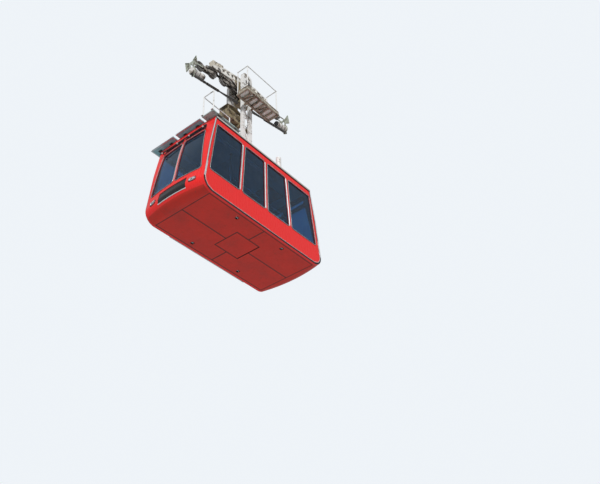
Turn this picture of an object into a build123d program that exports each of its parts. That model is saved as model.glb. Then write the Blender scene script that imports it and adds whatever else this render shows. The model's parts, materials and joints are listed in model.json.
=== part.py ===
"""Aerial cable car: an eight-wheel carriage for one track rope, a laced hanger and a passenger cabin.

Frame in millimetres: +X along the cabin towards the uphill end, +Z up, near side at -Y, door side at +Y.
The origin lies on the track rope's axis, square under the hanger pin. The carriage stands at the rope's slope
and the hanger hangs plumb from its pin, so every carriage piece is drawn in a plane that leans with the rope.
"""
import os
from math import cos, radians, sin

from build123d import *

os.makedirs("parts", exist_ok=True)

# Track rope, haul rope and pin
rope_slope = 11.6
track_rope_radius = 22.5
haul_rope_radius = 15.0
haul_rope_drop = 385.0
pin_above_rope = 300.0
pin_radius = 60.0
pin_to_cabin_floor = 6266.0
shaft_clearance = 0.3
lid_gap = 6.0
lid_swing_gap = 26.0

# Cabin body
cabin_half_width = 1050.0
wall = 55.0
floor_thickness = 120.0
ceiling_height = 2560.0
roof_thickness = 140.0
roof_height = ceiling_height + roof_thickness
eaves_above_ceiling = 52.0
foot_half_length = 2190.0
foot_bend_in = 102.0
foot_bend_height = 92.0

# Cabin ends from the belt up: height, half length at the side walls, bulge of the middle beyond that
end_sections = (
    (350.0, 2370.0, 125.0),
    (900.0, 2305.0, 84.0),
    (1600.0, 2222.0, 68.0),
    (ceiling_height + eaves_above_ceiling, 2046.0, 34.0),
    (roof_height, 2031.0, 31.0),
)

# Side windows
side_sill = 700.0
side_window_below_ceiling = 140.0
side_head = ceiling_height - side_window_below_ceiling
side_window_corner = 60.0
glass_thickness = 12.0
glass_fit = 0.3
glass_setback = 14.0
mullion = 130.0
end_window_foot = 2170.0
end_window_head = 1965.0
splay_foot = 1020.0
splay_head = 910.0

# Carriage
wheel_count = 8
wheel_pitch = 520.0
wheel_tread_radius = 140.0
wheel_flange_radius = 165.0
wheel_half_width = 42.0
axle_radius = 22.0
bogie_plate_inner = 54.0
bogie_plate = 12.0
rocker_plate_inner = 70.0
rocker_plate = 14.0
girder_plate_inner = 95.0
girder_plate = 18.0
rocker_pin_radius = 30.0
bogie_pin_height = 235.0
rocker_pin_height = 395.0
guide_station = 2180.0
guide_plate = 10.0

# Hanger
leg_inner = 250.0
leg_thickness = 100.0
leg_half_width = 210.0
leg_chord = 110.0
head_above_pin = 395.0
head_below_pin = 355.0

lean = radians(rope_slope)
pin_x = -pin_above_rope * sin(lean)
pin_z = pin_above_rope * cos(lean)
cabin_z = pin_z - pin_to_cabin_floor
wheel_height = track_rope_radius + wheel_tread_radius

belt_height, belt_half_length, belt_bulge = end_sections[0]
belt_radius = (cabin_half_width ** 2 + belt_bulge ** 2) / (2 * belt_bulge)
bulge_axis = belt_half_length + belt_bulge - belt_radius
end_reach = belt_half_length + belt_bulge + 100

# Drawing planes: along the rope, along the cabin's side, across the cabin's end, and the hanger's side
rope_side = Plane(origin=(0, 0, 0), x_dir=(cos(lean), 0, sin(lean)), z_dir=(0, -1, 0))
cabin_side = Plane(origin=(pin_x, 0, cabin_z), x_dir=(1, 0, 0), z_dir=(0, -1, 0))
cabin_end = Plane(origin=(pin_x, 0, cabin_z), x_dir=(0, 1, 0), z_dir=(1, 0, 0))
cabin_middle = Plane.YZ.offset(pin_x)
hanger_side = Plane(origin=(pin_x, 0, pin_z), x_dir=(1, 0, 0), z_dir=(0, -1, 0))


def cabin_level(height):
    """Horizontal plane at a height over the cabin's underside."""
    return Plane(origin=(pin_x, 0, cabin_z + height))


def across_rope(station):
    """Plane square to the rope at a distance along it from the origin."""
    return Plane(origin=(station * cos(lean), 0, station * sin(lean)), x_dir=(0, 1, 0),
                 z_dir=(cos(lean), 0, sin(lean)))


def end_form(inset, near, far, low, high):
    """Right half of the cabin's body, its end drawn in by an inset, cut to a box across the cabin.

    The foot is a revolved profile. From the belt up the end is a loft whose bulge fades towards the roof.
    """
    with BuildPart() as form:
        if low < belt_height:
            with BuildSketch(cabin_side):
                with BuildLine():
                    axis_foot = (bulge_axis - inset, 0)
                    heel = (foot_half_length - inset, 0)
                    belt = (belt_half_length + belt_bulge - inset, belt_height)
                    Line(axis_foot, heel)
                    ThreePointArc(heel, (belt[0] - foot_bend_in, foot_bend_height), belt)
                    Polyline(belt, (bulge_axis - inset, belt_height), axis_foot)
                make_face()
            revolve(axis=Axis((pin_x + bulge_axis - inset, 0, 0), (0, 0, 1)))
        if high > belt_height:
            for height, half_length, bulge in end_sections:
                with BuildSketch(cabin_level(height)):
                    with BuildLine():
                        side = half_length - inset
                        ThreePointArc((side, -cabin_half_width), (side + bulge, 0), (side, cabin_half_width))
                        Polyline((side, cabin_half_width), (0, cabin_half_width), (0, -cabin_half_width),
                                 (side, -cabin_half_width))
                    make_face()
            loft()
        with BuildSketch(cabin_end):
            with Locations(((near + far) / 2, (low + high) / 2)):
                Rectangle(far - near, high - low)
        extrude(amount=end_reach, mode=Mode.INTERSECT)
    return form.part


# Side windows: foot left, foot right, head left, head right
side_windows = (
    (-end_window_foot, -splay_foot - mullion / 2, -end_window_head, -splay_head - mullion / 2),
    (-splay_foot + mullion / 2, -mullion / 2, -splay_head + mullion / 2, -mullion / 2),
    (mullion / 2, splay_foot - mullion / 2, mullion / 2, splay_head - mullion / 2),
    (splay_foot + mullion / 2, end_window_foot, splay_head + mullion / 2, end_window_head),
)


def side_pane(window, fit):
    """Outline of one side window in the cabin's side plane, drawn in by a fit."""
    foot_left, foot_right, head_left, head_right = window
    with BuildSketch() as outline:
        with BuildLine():
            Polyline((foot_left + fit, side_sill + fit), (foot_right - fit, side_sill + fit),
                     (head_right - fit, side_head - fit), (head_left + fit, side_head - fit), close=True)
        make_face()
        fillet(outline.vertices(), side_window_corner)
    return outline.sketch


# End windows, two abreast, and the low panes over them: foot, head, outer edge at both, corner radius
end_window_inner = 45.0
low_pane_below_ceiling = 70.0
low_pane_height = 130.0
low_pane_gap = 100.0
low_pane_head = ceiling_height - low_pane_below_ceiling
low_pane_foot = low_pane_head - low_pane_height
end_windows = (
    (side_sill, low_pane_foot - low_pane_gap, 910.0, 780.0, 60.0),
    (low_pane_foot, low_pane_head, 772.0, 760.0, 25.0),
)


def end_pane(side, window, fit):
    """Outline of one end window in the cabin's end plane, drawn in by a fit; side is -1 or 1."""
    foot, head, outer_foot, outer_head, corner = window
    inner = side * (end_window_inner + fit)
    with BuildSketch() as outline:
        with BuildLine():
            Polyline((inner, foot + fit), (side * (outer_foot - fit), foot + fit),
                     (side * (outer_head - fit), head - fit), (inner, head - fit), close=True)
        make_face()
        fillet(outline.vertices(), corner)
    return outline.sketch


# Hinges: each has two cheeks and a pin on the frame, and a barrel on the lid
hinge_radius = 16.0
hinge_pin_radius = 8.0
barrel_length = 76.0
cheek_length = 22.0
cheek_gap = 2.0
hinge_span = 500.0
lid_flange = 34.0
lid_flange_thickness = 10.0
lid_seat = 0.3


def hinge_frame(x, top):
    """Cheeks and pins of two hinges that stand on a surface, at a place along the cabin."""
    axis_height = top + lid_seat + lid_flange_thickness + hinge_radius
    plane = Plane(origin=(pin_x + x, 0, cabin_z + axis_height), x_dir=(1, 0, 0), z_dir=(0, -1, 0))
    reach = barrel_length / 2 + cheek_gap
    drop = axis_height - top
    with BuildPart() as frame:
        for middle in (-hinge_span / 2, hinge_span / 2):
            for side in (-1, 1):
                low = middle + side * (reach + cheek_length / 2) - cheek_length / 2
                with BuildSketch(plane.offset(low)):
                    Circle(hinge_radius)
                    with Locations((0, -drop / 2)):
                        Rectangle(2 * hinge_radius, drop)
                extrude(amount=cheek_length)
            with BuildSketch(plane.offset(middle - reach - cheek_length)):
                Circle(hinge_pin_radius)
            extrude(amount=2 * (reach + cheek_length))
    return frame.part


def hatch_lid(x, side, length, width, top, depth):
    """Lid that fills an opening, with a flange on the surface round it and its hinge barrels on one edge."""
    hinge_x = side * (length / 2 + lid_flange)
    seat = top + lid_seat
    with BuildPart() as lid:
        with BuildSketch(cabin_level(top - depth)):
            with Locations((x + side * (lid_swing_gap - lid_gap) / 2, 0)):
                Rectangle(length - lid_gap - lid_swing_gap, width - 2 * lid_gap)
        extrude(amount=depth + lid_seat)
        with BuildSketch(cabin_level(seat)):
            with Locations((x, 0)):
                Rectangle(length + 2 * lid_flange, width + 2 * lid_flange)
            reach = barrel_length / 2 + cheek_gap + cheek_length + cheek_gap
            with Locations((x + hinge_x, -hinge_span / 2), (x + hinge_x, hinge_span / 2)):
                Rectangle(2 * (hinge_radius + 4), 2 * reach, mode=Mode.SUBTRACT)
        extrude(amount=lid_flange_thickness)
        axis_height = seat + lid_flange_thickness + hinge_radius
        plane = Plane(origin=(pin_x + x + hinge_x, 0, cabin_z + axis_height), x_dir=(-side, 0, 0), z_dir=(0, side, 0))
        for middle in (-hinge_span / 2, hinge_span / 2):
            with BuildSketch(plane.offset(middle - barrel_length / 2)):
                Circle(hinge_radius)
                with Locations((lid_flange / 2, -(hinge_radius + lid_flange_thickness / 2))):
                    Rectangle(lid_flange, lid_flange_thickness)
                with Locations((hinge_radius / 2 + 2, -hinge_radius / 2)):
                    Rectangle(hinge_radius + 4, hinge_radius)
                Circle(hinge_pin_radius + shaft_clearance, mode=Mode.SUBTRACT)
            extrude(amount=barrel_length)
    return lid.part


# Floor pan with the hatch opening, four square sockets and the seams between its sheets
hatch_length = 880.0
hatch_width = 800.0
socket_x = 895.0
socket_y = 805.0
socket_square = 100.0
socket_depth = 45.0
seam_width = 9.0
seam_depth = 4.0
seam_end = 2060.0
seam_side = 960.0
inner_half_width = cabin_half_width - wall

with BuildPart() as floor_pan:
    add(end_form(0, -inner_half_width, inner_half_width, 0, floor_thickness))
    mirror(about=cabin_middle)
    with BuildSketch(cabin_level(0)):
        Rectangle(2 * seam_end + seam_width, 2 * seam_side + seam_width)
        Rectangle(2 * seam_end - seam_width, 2 * seam_side - seam_width, mode=Mode.SUBTRACT)
        Rectangle(2 * seam_end, seam_width)
        Rectangle(seam_width, 2 * seam_side)
    extrude(amount=seam_depth, mode=Mode.SUBTRACT)
    with BuildSketch(cabin_level(0)):
        Rectangle(hatch_length, hatch_width)
    extrude(amount=floor_thickness, mode=Mode.SUBTRACT)
    with BuildSketch(cabin_level(0)):
        with GridLocations(2 * socket_x, 2 * socket_y, 2, 2):
            RectangleRounded(socket_square, socket_square, 12)
    extrude(amount=socket_depth, mode=Mode.SUBTRACT)
    add(hinge_frame(-hatch_length / 2 - lid_flange, floor_thickness))
floor_pan.part.label = "floor_pan"
export_step(floor_pan.part, "parts/floor_pan.step")

with BuildPart() as floor_hatch:
    add(hatch_lid(0, -1, hatch_length, hatch_width, floor_thickness, floor_thickness))
floor_hatch.part.label = "floor_hatch"
export_step(floor_hatch.part, "parts/floor_hatch.step")

# Side walls; the far one has the door opening in place of its two middle windows
door_opening_half = 700.0
door_below_ceiling = 460.0
door_opening_head = ceiling_height - door_below_ceiling

with BuildPart() as side_wall_near:
    add(end_form(0, -cabin_half_width, -inner_half_width, 0, ceiling_height))
    mirror(about=cabin_middle)
    with BuildSketch(cabin_side):
        for window in side_windows:
            add(side_pane(window, 0))
    extrude(amount=cabin_half_width + 10, mode=Mode.SUBTRACT)
side_wall_near.part.label = "side_wall_near"
export_step(side_wall_near.part, "parts/side_wall_near.step")

with BuildPart() as side_wall_far:
    add(end_form(0, inner_half_width, cabin_half_width, 0, ceiling_height))
    mirror(about=cabin_middle)
    with BuildSketch(cabin_side):
        add(side_pane(side_windows[0], 0))
        add(side_pane(side_windows[3], 0))
        with Locations((0, (floor_thickness + door_opening_head) / 2)):
            Rectangle(2 * door_opening_half, door_opening_head - floor_thickness)
    extrude(amount=-cabin_half_width - 10, mode=Mode.SUBTRACT)
side_wall_far.part.label = "side_wall_far"
export_step(side_wall_far.part, "parts/side_wall_far.step")

# End walls, each with four windows and a recess for the blank panel
panel_half_width = 500.0
panel_foot = 210.0
panel_head = 550.0
panel_recess = 30.0
panel_setback = 12.0

with BuildPart() as panel_space:
    add(end_form(0, -panel_half_width, panel_half_width, panel_foot, panel_head))
    add(end_form(panel_recess, -panel_half_width, panel_half_width, panel_foot, panel_head), mode=Mode.SUBTRACT)

with BuildPart() as end_wall_right:
    add(end_form(0, -inner_half_width, inner_half_width, floor_thickness, ceiling_height))
    add(end_form(wall, -inner_half_width, inner_half_width, floor_thickness, ceiling_height), mode=Mode.SUBTRACT)
    with BuildSketch(cabin_end):
        for window in end_windows:
            for side in (-1, 1):
                add(end_pane(side, window, 0))
    extrude(amount=end_reach, mode=Mode.SUBTRACT)
    add(panel_space.part, mode=Mode.SUBTRACT)
end_wall_right.part.label = "end_wall_right"
export_step(end_wall_right.part, "parts/end_wall_right.step")

with BuildPart() as end_wall_left:
    add(end_wall_right.part.mirror(cabin_middle))
end_wall_left.part.label = "end_wall_left"
export_step(end_wall_left.part, "parts/end_wall_left.step")

with BuildPart() as end_panels:
    half_width = panel_half_width - glass_fit
    back = panel_recess - glass_fit
    add(end_form(panel_setback, -half_width, half_width, panel_foot + glass_fit, panel_head - glass_fit))
    add(end_form(back, -half_width, half_width, panel_foot + glass_fit, panel_head - glass_fit), mode=Mode.SUBTRACT)
    mirror(about=cabin_middle)
end_panels.part.label = "end_panels"
export_step(end_panels.part, "parts/end_panels.step")

# Twin oval lamps on both ends
lamp_y = 710.0
lamp_height = 370.0
lamp_length = 210.0
lamp_width = 118.0
lamp_stand = 22.0
with BuildPart() as end_lamps:
    add(end_form(-lamp_stand, -inner_half_width, inner_half_width, lamp_height - lamp_width, lamp_height + lamp_width))
    add(end_form(0, -inner_half_width, inner_half_width, lamp_height - lamp_width, lamp_height + lamp_width),
        mode=Mode.SUBTRACT)
    with BuildSketch(cabin_end):
        with Locations((-lamp_y, lamp_height), (lamp_y, lamp_height)):
            SlotOverall(lamp_length, lamp_width)
    extrude(amount=end_reach, mode=Mode.INTERSECT)
    mirror(about=cabin_middle)
end_lamps.part.label = "end_lamps"
export_step(end_lamps.part, "parts/end_lamps.step")

# Fixed glass: four panes on the near side, two on the far side, and eight in the ends
with BuildPart() as side_glass:
    with BuildSketch(cabin_side.offset(cabin_half_width - glass_setback - glass_thickness)):
        for window in side_windows:
            add(side_pane(window, glass_fit))
    extrude(amount=glass_thickness)
    with BuildSketch(cabin_side.offset(glass_setback - cabin_half_width)):
        add(side_pane(side_windows[0], glass_fit))
        add(side_pane(side_windows[3], glass_fit))
    extrude(amount=glass_thickness)
side_glass.part.label = "side_glass"
export_step(side_glass.part, "parts/side_glass.step")

with BuildPart() as end_glass:
    add(end_form(glass_setback, -inner_half_width, inner_half_width, 650, ceiling_height))
    add(end_form(glass_setback + glass_thickness, -inner_half_width, inner_half_width, 650, ceiling_height),
        mode=Mode.SUBTRACT)
    with BuildSketch(cabin_end):
        for window in end_windows:
            for side in (-1, 1):
                add(end_pane(side, window, glass_fit))
    extrude(amount=end_reach, mode=Mode.INTERSECT)
    mirror(about=cabin_middle)
end_glass.part.label = "end_glass"
export_step(end_glass.part, "parts/end_glass.step")

# Edge strips round the foot and both ends of each side wall; the far one makes room for the door's lower rail
strip_thickness = 10.0
strip_width = 46.0
strip_margin = 5.0
gutter_above_ceiling = 80.0
strip_head = ceiling_height + gutter_above_ceiling
strip_foot_half_length = 2040.0
strip_bend = (2260.0, 97.0)
door_rail_half_length = 1450.0
with BuildSketch() as strip_outline:
    with BuildLine():
        rising = [(half_length - strip_margin, height) for height, half_length, bulge in end_sections]
        Line((0, strip_margin), (strip_foot_half_length, strip_margin))
        ThreePointArc((strip_foot_half_length, strip_margin), strip_bend, rising[0])
        Polyline(*rising, (0, roof_height), (0, strip_margin))
    make_face()
    mirror(about=Plane.YZ)
    offset(amount=-strip_width, mode=Mode.SUBTRACT)
    with Locations((0, strip_head + 100)):
        Rectangle(2 * belt_half_length, 200, mode=Mode.SUBTRACT)

with BuildPart() as edge_strips:
    with BuildSketch(cabin_side.offset(cabin_half_width)):
        add(strip_outline.sketch)
    extrude(amount=strip_thickness)
    with BuildSketch(cabin_side.offset(-cabin_half_width)):
        add(strip_outline.sketch)
        Rectangle(2 * door_rail_half_length + 20, 300, mode=Mode.SUBTRACT)
    extrude(amount=-strip_thickness)
edge_strips.part.label = "edge_strips"
export_step(edge_strips.part, "parts/edge_strips.step")

# Roof with its hatch opening and rounded edge
roof_hatch_x = 1250.0
roof_hatch_size = 640.0
roof_edge_radius = 18.0
with BuildPart() as roof:
    add(end_form(0, -cabin_half_width, cabin_half_width, ceiling_height, roof_height))
    mirror(about=cabin_middle)
    fillet(roof.edges().group_by(Axis.Z)[-1], roof_edge_radius)
    with BuildSketch(cabin_level(ceiling_height)):
        with Locations((roof_hatch_x, 0)):
            Rectangle(roof_hatch_size, roof_hatch_size)
    extrude(amount=roof_height, mode=Mode.SUBTRACT)
    add(hinge_frame(roof_hatch_x + roof_hatch_size / 2 + lid_flange, roof_height))
roof.part.label = "roof"
export_step(roof.part, "parts/roof.step")

with BuildPart() as roof_hatch:
    add(hatch_lid(roof_hatch_x, 1, roof_hatch_size, roof_hatch_size, roof_height, roof_height - ceiling_height))
roof_hatch.part.label = "roof_hatch"
export_step(roof_hatch.part, "parts/roof_hatch.step")

# Gutters along both sides of the roof
gutter_half_length = 2015.0
gutter_height = 40.0
gutter_foot = strip_head
gutter_head = gutter_foot + gutter_height
gutter_stand = 32.0
gutter_lip = 6.0
with BuildPart() as gutters:
    with BuildSketch(cabin_end.offset(-gutter_half_length)):
        for side in (-1, 1):
            with BuildLine():
                inner = side * cabin_half_width
                outer = side * (cabin_half_width + gutter_stand)
                lip = side * gutter_lip
                Polyline((inner, gutter_foot), (outer, gutter_foot), (outer, gutter_head),
                         (outer - lip, gutter_head), (outer - lip, gutter_foot + gutter_lip),
                         (inner + lip, gutter_foot + gutter_lip), (inner + lip, gutter_head), (inner, gutter_head),
                         close=True)
            make_face()
    extrude(amount=2 * gutter_half_length)
gutters.part.label = "gutters"
export_step(gutters.part, "parts/gutters.step")

# Sliding doors on the far side, hung from a rail over the opening
door_overlap = 45.0
door_gap = 8.0
door_leaf_thickness = 38.0
door_meeting_gap = 6.0
door_leaf_foot = 70.0
door_leaf_lap = 40.0
door_track_lift = 55.0
door_leaf_head = door_opening_head + door_leaf_lap
door_track_height = door_leaf_head + door_track_lift
door_inner = cabin_half_width + door_gap
leaf_length = door_opening_half + door_overlap - door_meeting_gap / 2
door_window_sill = 720.0
door_window_top_margin = 100.0
door_window_head = door_leaf_head - door_window_top_margin
door_window_margin = 95.0
carrier_length = 80.0
carrier_spread = 250.0
rail_plate = 8.0
tongue_inner = door_inner + 10
tongue_outer = tongue_inner + 12
ledge_inner = tongue_outer + 6
rail_outer = ledge_inner + 28
rail_foot = door_track_height - rail_plate
rail_head = door_track_height + 55
guide_foot = 25.0
guide_head = 62.0
guide_outer = cabin_half_width + 52

with BuildPart() as door_rails:
    with BuildSketch(cabin_end.offset(-door_rail_half_length)):
        with BuildLine():
            Polyline((cabin_half_width, rail_foot - 20), (cabin_half_width, rail_head), (rail_outer, rail_head),
                     (rail_outer, rail_foot), (ledge_inner, rail_foot), (ledge_inner, door_track_height),
                     (rail_outer - rail_plate, door_track_height), (rail_outer - rail_plate, rail_head - rail_plate),
                     (cabin_half_width + rail_plate, rail_head - rail_plate),
                     (cabin_half_width + rail_plate, rail_foot - 20), close=True)
        make_face()
        groove_inner = tongue_inner - 5
        groove_outer = tongue_outer + 5
        with Locations(((cabin_half_width + guide_outer) / 2, (guide_foot + guide_head) / 2)):
            Rectangle(guide_outer - cabin_half_width, guide_head - guide_foot)
        with Locations(((groove_inner + groove_outer) / 2, guide_head)):
            Rectangle(groove_outer - groove_inner, guide_head - guide_foot, mode=Mode.SUBTRACT)
    extrude(amount=2 * door_rail_half_length)
door_rails.part.label = "door_rails"
export_step(door_rails.part, "parts/door_rails.step")

for side, name in ((-1, "left"), (1, "right")):
    middle = side * (door_meeting_gap / 2 + leaf_length / 2)
    with BuildPart() as door:
        with BuildSketch(cabin_side.offset(-door_inner)):
            with Locations((middle, (door_leaf_foot + door_leaf_head) / 2)):
                RectangleRounded(leaf_length, door_leaf_head - door_leaf_foot, 25)
            with Locations((middle, (door_window_sill + door_window_head) / 2)):
                RectangleRounded(leaf_length - 2 * door_window_margin, door_window_head - door_window_sill, 70,
                                 mode=Mode.SUBTRACT)
        extrude(amount=-door_leaf_thickness)
        for station in (middle - carrier_spread, middle + carrier_spread):
            with BuildSketch(cabin_end.offset(station - carrier_length / 2)):
                with BuildLine():
                    hook_foot = door_track_height + lid_seat
                    Polyline((tongue_inner, door_leaf_head - 10), (tongue_outer, door_leaf_head - 10),
                             (tongue_outer, hook_foot), (rail_outer - rail_plate - 5, hook_foot),
                             (rail_outer - rail_plate - 5, hook_foot + 30), (tongue_inner, hook_foot + 30), close=True)
                make_face()
            extrude(amount=carrier_length)
        with BuildSketch(cabin_end.offset(middle - leaf_length / 2 + 30)):
            with Locations(((tongue_inner + tongue_outer) / 2, door_leaf_foot - 5)):
                Rectangle(tongue_outer - tongue_inner, 30)
        extrude(amount=leaf_length - 60)
    door.part.label = f"door_{name}"
    export_step(door.part, f"parts/door_{name}.step")

    with BuildPart() as door_glass:
        with BuildSketch(cabin_side.offset(-door_inner - glass_setback)):
            with Locations((middle, (door_window_sill + door_window_head) / 2)):
                RectangleRounded(leaf_length - 2 * door_window_margin - 2 * glass_fit,
                                 door_window_head - door_window_sill - 2 * glass_fit, 70)
        extrude(amount=-glass_thickness)
    door_glass.part.label = f"door_glass_{name}"
    export_step(door_glass.part, f"parts/door_glass_{name}.step")

# Rail across the top of both ends, held off the bulged wall by four brackets
end_rail_radius = 18.0
end_rail_below_ceiling = 223.0
end_rail_height = ceiling_height - end_rail_below_ceiling
end_rail_x = 2212.0
end_rail_half_width = 888.0
bracket_places = (-770.0, -250.0, 200.0, 790.0)
bracket_square = 24.0
bracket_root = 2040.0
with BuildPart() as end_rails:
    with BuildSketch(cabin_end.offset(bracket_root)):
        for place in bracket_places:
            with Locations((place, end_rail_height)):
                Rectangle(bracket_square, bracket_square)
    extrude(amount=end_rail_x - bracket_root)
    with BuildSketch(cabin_side.offset(-end_rail_half_width)):
        with Locations((end_rail_x, end_rail_height)):
            Circle(end_rail_radius)
    extrude(amount=2 * end_rail_half_width)
    add(end_form(0, -inner_half_width, inner_half_width, floor_thickness, ceiling_height), mode=Mode.SUBTRACT)
    mirror(about=cabin_middle)
end_rails.part.label = "end_rails"
export_step(end_rails.part, "parts/end_rails.step")

# Inside: four grab poles, and a hand rail along the near wall
pole_radius = 19.0
pole_x = 780.0
pole_y = 430.0
hand_rail_height = 1080.0
hand_rail_half_length = 1150.0
hand_rail_stand = 70.0
hand_rail_brackets = (-996.0, 0.0, 996.0)
with BuildPart() as grab_poles:
    with BuildSketch(cabin_level(floor_thickness)):
        with GridLocations(2 * pole_x, 2 * pole_y, 2, 2):
            Circle(pole_radius)
    extrude(amount=ceiling_height - floor_thickness)
    with BuildSketch(cabin_level(floor_thickness)):
        with GridLocations(2 * pole_x, 2 * pole_y, 2, 2):
            Circle(pole_radius + 26)
    extrude(amount=12)
grab_poles.part.label = "grab_poles"
export_step(grab_poles.part, "parts/grab_poles.step")

with BuildPart() as hand_rail:
    rail_y = -inner_half_width + hand_rail_stand
    with BuildSketch(Plane(origin=(pin_x - hand_rail_half_length, rail_y, cabin_z + hand_rail_height),
                           x_dir=(0, 1, 0), z_dir=(1, 0, 0))):
        Circle(pole_radius)
    extrude(amount=2 * hand_rail_half_length)
    with BuildSketch(cabin_side.offset(-rail_y)):
        for place in hand_rail_brackets:
            with Locations((place, hand_rail_height)):
                Circle(12)
    extrude(amount=hand_rail_stand)
hand_rail.part.label = "hand_rail"
export_step(hand_rail.part, "parts/hand_rail.step")

# Roof, left end: two flat panels and a small deck, each on two bearers
bearer_height = 15.0
bearer_width = 60.0
bearer_places = (-1950.0, -1250.0)
solar_left = -2210.0
solar_right = -960.0
solar_thickness = 36.0
solar_panels_y = ((-620.0, 310.0), (410.0, 1290.0))
with BuildPart() as roof_panels:
    for low, high in solar_panels_y:
        with BuildSketch(cabin_level(roof_height + bearer_height)):
            with Locations(((solar_left + solar_right) / 2, (low + high) / 2)):
                Rectangle(solar_right - solar_left, high - low)
        extrude(amount=solar_thickness)
        bearer_far = min(high, cabin_half_width) - 60
        with BuildSketch(cabin_level(roof_height)):
            for place in bearer_places:
                with Locations((place, (low + 60 + bearer_far) / 2)):
                    Rectangle(bearer_width, bearer_far - low - 60)
        extrude(amount=bearer_height)
roof_panels.part.label = "roof_panels"
export_step(roof_panels.part, "parts/roof_panels.step")

deck_left = -2220.0
deck_right = -1150.0
deck_near = -1130.0
deck_far = -710.0
deck_thickness = 30.0
deck_bearer_near = -1000.0
with BuildPart() as roof_deck:
    with BuildSketch(cabin_level(roof_height + bearer_height)):
        with Locations(((deck_left + deck_right) / 2, (deck_near + deck_far) / 2)):
            Rectangle(deck_right - deck_left, deck_far - deck_near)
    extrude(amount=deck_thickness)
    with BuildSketch(cabin_level(roof_height)):
        for place in bearer_places:
            with Locations((place, (deck_bearer_near + deck_far) / 2)):
                Rectangle(bearer_width, deck_far - deck_bearer_near)
    extrude(amount=bearer_height)
roof_deck.part.label = "roof_deck"
export_step(roof_deck.part, "parts/roof_deck.step")


def posts_and_rail(corners, foot, head, radius):
    """Upright posts at the corners and a round rail along their tops from each corner to the next."""
    with BuildPart() as rails:
        for x, y in corners:
            with BuildSketch(Plane(origin=(x, y, foot))):
                Circle(radius)
            extrude(amount=head - foot)
            with Locations((x, y, head)):
                Sphere(radius)
        for start, end in zip(corners, corners[1:]):
            line = Vector(end[0] - start[0], end[1] - start[1], 0)
            with BuildSketch(Plane(origin=(start[0], start[1], head), x_dir=(0, 0, 1), z_dir=line)):
                Circle(radius * 0.9)
            extrude(amount=line.length)
    return rails.part


rail_tube = 17.0
deck_top = cabin_z + roof_height + bearer_height + deck_thickness
deck_rail_height = 750.0
deck_rail_right = -1180.0
deck_rail_left = -2200.0
deck_rail_inner = -735.0
deck_rail_outer = -1112.0
deck_rail_corners = ((deck_rail_right, deck_rail_inner), (deck_rail_left, deck_rail_inner),
                     (deck_rail_left, deck_rail_outer))
deck_corners = tuple((pin_x + x, y) for x, y in deck_rail_corners)
with BuildPart() as roof_railing:
    add(posts_and_rail(deck_corners, deck_top, deck_top + deck_rail_height, rail_tube))
roof_railing.part.label = "roof_railing"
export_step(roof_railing.part, "parts/roof_railing.step")

post_x = 920.0
post_y = -775.0
post_radius = 78.0
post_top = 3400.0
with BuildPart() as roof_post:
    with BuildSketch(cabin_level(roof_height)):
        with Locations((post_x, post_y)):
            Circle(post_radius)
    extrude(amount=post_top - roof_height)
    with BuildSketch(cabin_level(roof_height)):
        with Locations((post_x, post_y)):
            Circle(post_radius + 42)
    extrude(amount=14)
roof_post.part.label = "roof_post"
export_step(roof_post.part, "parts/roof_post.step")

# Hanger base on the roof: two beams along, two across
base_half_length = 560.0
base_half_width = 460.0
base_beam = 120.0
base_height = 100.0
with BuildPart() as hanger_base:
    with BuildSketch(cabin_level(roof_height)):
        for side in (-1, 1):
            with Locations((0, side * (leg_inner + leg_thickness / 2))):
                Rectangle(2 * base_half_length, base_beam)
            with Locations((side * (base_half_length - base_beam / 2), 0)):
                Rectangle(base_beam, 2 * base_half_width)
    extrude(amount=base_height)
hanger_base.part.label = "hanger_base"
export_step(hanger_base.part, "parts/hanger_base.step")

# Hanger legs: two chords, a foot, zigzag lacing and a head plate with lightening holes round the pin
leg_foot = cabin_z + roof_height + base_height - pin_z
leg_foot_height = 60.0
lacing_foot = leg_foot + leg_foot_height
lacing_head = -head_below_pin
lacing_bays = 7
lacing_bay = (lacing_head - lacing_foot) / lacing_bays
lacing_thickness = 40.0
lacing_depth = 75.0
head_corner = 150.0
head_hole = 42.0
head_holes = ((0.0, 270.0), (-115.0, 190.0), (115.0, 190.0), (-115.0, -150.0), (115.0, -150.0), (0.0, -250.0))
inner_half = leg_half_width - leg_chord
for side, name in ((1, "near"), (-1, "far")):
    with BuildPart() as leg:
        with BuildSketch(hanger_side.offset(side * leg_inner)):
            with Locations((0, (head_above_pin - head_below_pin) / 2)):
                RectangleRounded(2 * leg_half_width, head_above_pin + head_below_pin, head_corner)
            for chord in (-1, 1):
                with Locations((chord * (leg_half_width - leg_chord / 2), leg_foot / 2)):
                    Rectangle(leg_chord, -leg_foot)
            with Locations((0, leg_foot + leg_foot_height / 2)):
                Rectangle(2 * leg_half_width, leg_foot_height)
            Circle(pin_radius + shaft_clearance, mode=Mode.SUBTRACT)
            with Locations(head_holes):
                Circle(head_hole, mode=Mode.SUBTRACT)
        extrude(amount=side * leg_thickness)
        with BuildSketch(hanger_side.offset(side * (leg_inner + (leg_thickness - lacing_thickness) / 2))):
            for index in range(lacing_bays):
                low = lacing_foot + index * lacing_bay
                start, end = (-inner_half, inner_half) if index % 2 else (inner_half, -inner_half)
                with BuildLine():
                    Polyline((start - 10, low), (start + 10, low + lacing_depth), (end + 10, low + lacing_bay),
                             (end - 10, low + lacing_bay - lacing_depth), close=True)
                make_face()
        extrude(amount=side * lacing_thickness)
    leg.part.label = f"hanger_leg_{name}"
    export_step(leg.part, f"parts/hanger_leg_{name}.step")

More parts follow.
